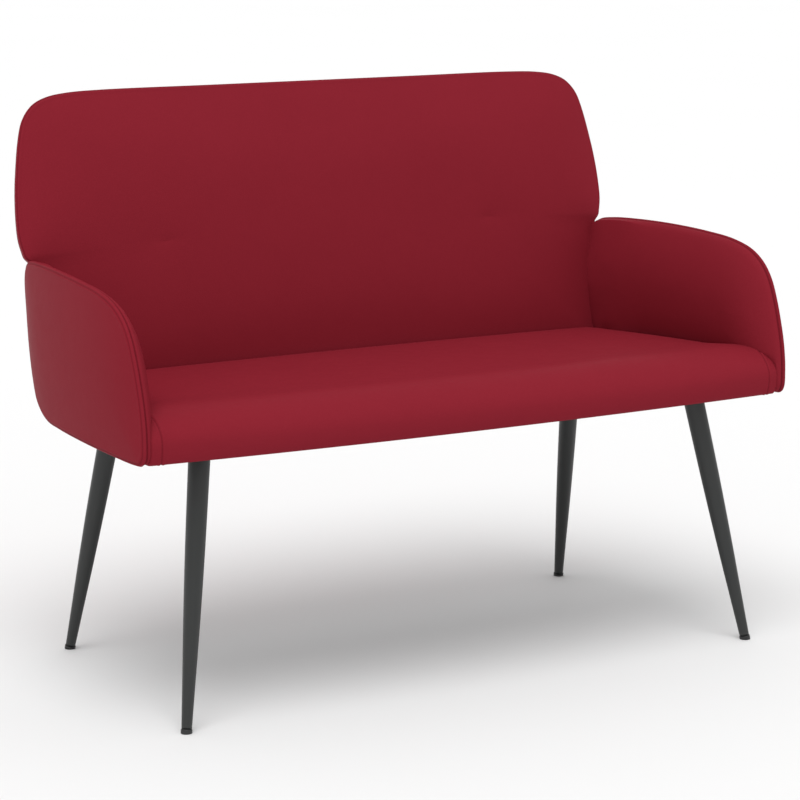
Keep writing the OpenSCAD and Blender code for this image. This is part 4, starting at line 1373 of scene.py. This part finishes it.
@dataclass(frozen=True)
class Leg:
    """A tapered, splayed leg tube with its weld below the plate, and the glide in its foot.

    Each pair of taper shares is a height along the tube and the radius there.
    """

    name: str
    top: tuple[float, float]
    foot: tuple[float, float]
    top_z: float = 0.376
    radius: float = 0.0155
    wall: float = 0.0015
    weld: float = 0.0022
    weld_start: float = 0.009
    weld_run: float = 0.008
    below_top: float = 0.016
    glide_length: float = 0.005
    lip: float = 0.0008
    sunk: float = 0.004
    foot_bend: float = 0.0006
    soft: float = 0.0009
    stem_top: float = 0.018
    stem_play: float = 0.0001
    worn_rim: float = 0.006
    worn_foot: float = 0.003
    taper: tuple[tuple[float, float], ...] = ((0, 0.47), (0.16, 0.59), (0.38, 0.76), (0.64, 0.90), (1, 1))
    sides: int = 72

    @property
    def axis(self) -> Array:
        """Vector from the foot to the top."""
        return np.array([self.top[0] - self.foot[0], self.top[1] - self.foot[1], self.top_z])

    def around(self, radii: Array, heights: Array, floor: bool) -> Array:
        """Rings round the leg's axis, cut flat at the plate and, for the glide, at the floor.

        Args:
            radii: Radius of each ring.
            heights: Its height along the axis.
            floor: Whether points below the floor move up the axis to it.

        Returns:
            Rings of points.
        """
        up = self.axis / np.linalg.norm(self.axis)
        across = np.cross(up, [0, 1, 0])
        across /= np.linalg.norm(across)
        a = np.linspace(0, 2 * math.pi, self.sides, endpoint=False)[:, None]
        circle = np.cos(a) * across + np.sin(a) * np.cross(across, up)
        points = np.array([*self.foot, 0.0]) + heights[:, None, None] * up + radii[:, None, None] * circle
        z = points[..., 2:]
        over = np.clip(z - self.top_z, 0, None) - (np.clip(-z, 0, None) if floor else 0)
        return points - over * up / up[2]

    def profile(self) -> tuple[Array, Array]:
        """Works out the tube: a smooth taper that flares into the weld bead at the plate.

        Returns:
            Radius and height along the tube.
        """
        length = np.linalg.norm(self.axis)
        curve = smooth_through(np.array(self.taper), closed=False, per_span=14)
        run = lerp(self.glide_length, length, curve[:, 0])
        bead = length + np.linspace(-0.010, 0.008, 8)
        heights = np.concatenate([run[run < length - self.below_top], bead])
        flare = np.clip((heights - length + self.weld_start) / self.weld_run, 0, 1) ** 2
        return np.interp(heights, run, self.radius * curve[:, 1]) + self.weld * flare, heights

    def turned(self, part: str, cut: Array, ends: Ends, worn: Array) -> bpy.types.Object:
        """Turns a cut round the leg's axis.

        Args:
            part: What it makes.
            cut: Radius and height of each of its points.
            ends: How the skin ends.
            worn: How worn each point of the cut is.

        Returns:
            The piece, without a finish.
        """
        points = self.around(cut[:, 0], cut[:, 1], floor=ends is Ends.POLES)
        faces, _ = ring_faces(*points.shape[:2], ends)
        marks = {"worn": np.repeat(np.clip(worn, 0, 1), self.sides)}
        return piece_from(f"{self.name}_{part}", points.reshape(-1, 3), faces, marks=marks)

    def build(self, paints: Paints) -> list[bpy.types.Object]:
        """Makes the tube, rounded at its rim, and its glide, which is pressed flat by the floor.

        Args:
            paints: The finishes.

        Returns:
            The two pieces.
        """
        radii, heights = self.profile()
        lip = np.radians(np.linspace(0, 180, 7))[1:-1]
        rim_r = radii[0] - self.wall / 2 * (1 - np.cos(lip))
        rim_z = heights[0] + self.wall / 2 * (1 - np.sin(lip))
        outer = np.stack([radii, heights], axis=1)[::-1]
        inner = np.stack([radii - self.wall, heights], axis=1)
        cut = np.vstack([outer, np.stack([rim_r, rim_z], axis=1), inner])
        tube = self.turned("leg_tube", cut, Ends.JOINED, 1 - (cut[:, 1] - self.glide_length) / self.worn_rim)
        r, stem = self.radius * self.taper[0][1] + self.lip, radii[0] - self.wall - self.stem_play
        bend = np.radians(np.linspace(0, 90, 6))
        top_r, top_z = r - self.soft * (1 - np.cos(bend)), self.glide_length - self.soft * (1 - np.sin(bend))
        top = np.stack([top_r, top_z], axis=1)
        below = [[0.0, -self.sunk], [r * 0.5, -self.sunk], [r - 0.0004, -self.sunk], [r, -self.foot_bend]]
        above = [[stem, self.glide_length], [stem, self.stem_top], [0.0, self.stem_top]]
        cut = np.vstack([below, top, above])
        glide = self.turned("glide_cap", cut, Ends.POLES, 1 - cut[:, 1] / self.worn_foot)
        return [
            dress(tube, paints.steel, (f"{self.name}_leg",)),
            dress(glide, paints.plastic, (f"{self.name}_glide",)),
        ]


# Underside


@dataclass(frozen=True)
class DustSheet:
    """The cloth stapled under the seat: it puckers between its staples along the edge."""

    lines: Lines
    margin: float = 0.012
    front_gap: float = 0.031
    thickness: float = 0.0006
    pitch: float = 0.046
    pucker: float = 0.00025
    below: float = 0.0014
    pucker_reach: float = 0.02
    sag: float = 0.0009
    sag_run: float = 0.10
    rows: int = 261
    columns: int = 99
    staple_half: float = 0.005
    staple_inset: float = 0.006
    staple_below: float = 0.0017
    wire: float = 0.0003

    def half_width(self, y: Any) -> Any:
        """Half width of the cloth at depth y."""
        return self.lines.seat_straight(y) - self.margin

    def build(self, paints: Paints) -> list[bpy.types.Object]:
        """Makes the cloth, whose edge waves with the staples' pitch, and its staples.

        Args:
            paints: The finishes.

        Returns:
            The two pieces.
        """
        y0 = self.lines.front_y + self.front_gap + self.margin
        y1 = self.lines.seat_rear_y - self.margin
        u, v = np.meshgrid(np.linspace(-1, 1, self.rows), np.linspace(0, 1, self.columns), indexing="ij")
        y = lerp(y0, y1, v)
        half = self.half_width(y)
        from_side, from_end = (1 - np.abs(u)) * half, np.minimum(v, 1 - v) * (y1 - y0)
        edge = np.minimum(from_side, from_end)
        run = np.where(from_side < from_end, y - y0, u * half)
        pucker = self.pucker * np.cos(2 * math.pi * run / self.pitch) * np.exp(-edge / self.pucker_reach)
        z = self.lines.underside_z - self.below + pucker - self.sag * np.clip(edge / self.sag_run, 0, 1)
        faces, _ = ring_faces(self.rows, self.columns, Ends.SHEET)
        cloth = piece_from("dust_sheet", np.stack([u * half, y, z], axis=-1).reshape(-1, 3), faces)
        solid = cloth.modifiers.new("thickness", "SOLIDIFY")
        solid.thickness, solid.offset = self.thickness, 0.0
        dress(cloth, paints.dust_cloth, ("seat_dust_cover",))
        flat = (float(2 * self.half_width(y0)), float(y1 - y0))
        area = float((y1 - y0) * 2 * self.half_width((y0 + y1) / 2))
        return [cloth, self.staples(paints, y0, y1)]

    def staples(self, paints: Paints, y0: float, y1: float) -> bpy.types.Object:
        """Makes the staples along the cloth's edge: each is a short round wire bent up at both ends.

        Args:
            paints: The finishes.
            y0: Front of the cloth.
            y1: Rear of the cloth.

        Returns:
            One piece with all of them.
        """
        inset, thin, end = self.staple_inset, self.wire, self.staple_half
        xs, ys = np.arange(-0.45, 0.451, self.pitch), np.arange(y0 + 0.03, y1 - 0.02, self.pitch)
        sides = self.half_width(ys) - inset
        spots = np.vstack([
            *(np.stack([xs, np.full_like(xs, y), np.zeros_like(xs)], 1) for y in (y0 + inset, y1 - inset)),
            *(np.stack([sign * sides, ys, np.ones_like(ys)], 1) for sign in (1, -1)),
        ])
        bent = [[end, 0.001], [end, -0.0002], [end - 0.0004, -0.0005]]
        line = np.vstack([np.array(bent) * [-1, 1], bent[::-1]])
        a = np.linspace(0, 2 * math.pi, 6, endpoint=False)
        round_wire = (line[:, None, 0], 2 * thin * np.cos(a), line[:, None, 1] + thin * np.sin(a))
        wire = np.stack(np.broadcast_arrays(*round_wire), axis=-1)
        wire[[0, 1, 4, 5], :, 0] += thin * np.sin(a) * np.array([[1], [1], [-1], [-1]])
        turned = np.stack([-wire[..., 1], wire[..., 0], wire[..., 2]], axis=-1)
        each = np.where(spots[:, 2, None, None, None] > 0, turned, wire)
        low = np.full(len(spots), self.lines.underside_z - self.staple_below)
        base = np.stack([spots[:, 0], spots[:, 1], low], axis=1)
        points = (each + base[:, None, None, :]).reshape(-1, 3)
        faces, _ = ring_faces(len(line), len(a), Ends.JOINED)
        faces = (faces[None] + np.arange(len(spots))[:, None, None] * line.shape[0] * len(a)).reshape(-1, 4)
        return dress(piece_from("dust_sheet_staples", points, faces), paints.zinc)


# Frame nodes that stay


class Carried(Enum):
    """The frame's own nodes that stay, by finish."""

    PLYWOOD = ("plywood", ("seat_board", "back_board", "left_arm_board", "right_arm_board"))
    STEEL = ("steel", ("front_left_plate", "front_right_plate", "rear_left_plate", "rear_right_plate"))
    BRACKETS = ("zinc", ("back_brackets", "arm_brackets", "arm_back_brackets"))
    FASTENERS = ("zinc", ("leg_bolts", "leg_inserts", "seat_screws", "back_screws", "arm_screws"))

    def paint(self, nodes: Mapping[str, bpy.types.Object], paints: Paints) -> None:
        """Gives each node its finish.

        Args:
            nodes: The frame's nodes by name.
            paints: The finishes.
        """
        finish, names = self.value
        for name in names:
            if not nodes[name].material_slots:
                nodes[name].data.materials.append(None)
            for slot in nodes[name].material_slots:
                slot.material = getattr(paints, finish)
            LOG.info("%s keeps its shape, in %s", name, finish)


# Studio


@dataclass(frozen=True)
class Studio:
    """Pale floor, soft lights and the camera at the photograph's angle."""

    camera_at: tuple[float, float, float] = (-2.1026, -3.6391, 1.1839)
    azimuth: float = -0.5259
    elevation: float = 0.1898
    lens: float = 128.22
    floor_rings: tuple[float, ...] = (0.0, 0.5, 2.0, 8.0, 40.0)
    floor_drop: float = 0.0004
    key_energy: float = 1.6
    key_angle: float = math.radians(40)
    key_direction: tuple[float, float, float] = (0.22, 0.31, -0.925)
    room_light: float = 0.78

    @staticmethod
    def hang(name: str, data: bpy.types.ID, direction: Sequence[float]) -> bpy.types.Object:
        """Puts a camera or a light in the scene, looking in a direction.

        Args:
            name: Its name.
            data: Its data.
            direction: Where it looks.

        Returns:
            The new object.
        """
        hung = bpy.data.objects.new(name, data)
        hung.rotation_euler = Vector(direction).to_track_quat("-Z", "Y").to_euler()
        bpy.context.scene.collection.objects.link(hung)
        return hung

    def camera(self) -> None:
        """Sets the camera up: it looks along its azimuth and elevation, level."""
        data = bpy.data.cameras.new("camera")
        data.lens, data.sensor_width, data.clip_end = self.lens, 36.0, 100.0
        level = math.cos(self.elevation)
        ahead = (-math.sin(self.azimuth) * level, math.cos(self.azimuth) * level, -math.sin(self.elevation))
        camera = self.hang("camera", data, ahead)
        camera.location = self.camera_at
        bpy.context.scene.camera = camera

    def floor(self) -> None:
        """Lays the floor: a wide disc of rings, which isn't part of the sofa."""
        a = np.linspace(0, 2 * math.pi, 96, endpoint=False)
        r = np.array(self.floor_rings)[:, None]
        points = np.stack(np.broadcast_arrays(r * np.cos(a), r * np.sin(a), -self.floor_drop), axis=-1)
        faces, _ = ring_faces(len(r), len(a), Ends.OPEN)
        floor = piece_from("floor", points.reshape(-1, 3), faces)
        floor.data.materials.append(PaleFloor().make())

    def lights(self) -> None:
        """Sets up one broad soft light from high on the left and the even light of the room."""
        data = bpy.data.lights.new("key", "SUN")
        data.energy, data.angle = self.key_energy, self.key_angle
        self.hang("key", data, self.key_direction)
        world = bpy.data.worlds.new("room")
        world.use_nodes = True
        background = world.node_tree.nodes["Background"]
        background.inputs["Color"].default_value = (1.0, 1.0, 1.0, 1)
        background.inputs["Strength"].default_value = self.room_light
        bpy.context.scene.world = world
        bpy.context.scene.view_settings.view_transform = "Standard"


def main() -> None:
    """Loads the frame, dresses it piece by piece and sets up the studio."""
    logging.basicConfig(level=logging.INFO, format="%(message)s")
    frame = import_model()
    studio = Studio()
    studio.camera()
    studio.floor()
    studio.lights()
    lines, paints = Lines(), Paints()
    for pad in (SeatCushion, BackCushion, RightArm, LeftArm):
        pad(lines).build(paints.leather)
    legs = {"front": (0.416, -0.1845, 0.475, -0.2525), "rear": (0.403, 0.1274, 0.442, 0.2184)}
    for row, (top_x, top_y, foot_x, foot_y) in legs.items():
        for side, sign in (("left", -1), ("right", 1)):
            Leg(f"{row}_{side}", (sign * top_x, top_y), (sign * foot_x, foot_y)).build(paints)
    DustSheet(lines).build(paints)
    for group in Carried:
        group.paint(frame["nodes"], paints)


if __name__ == "__main__":
    main()
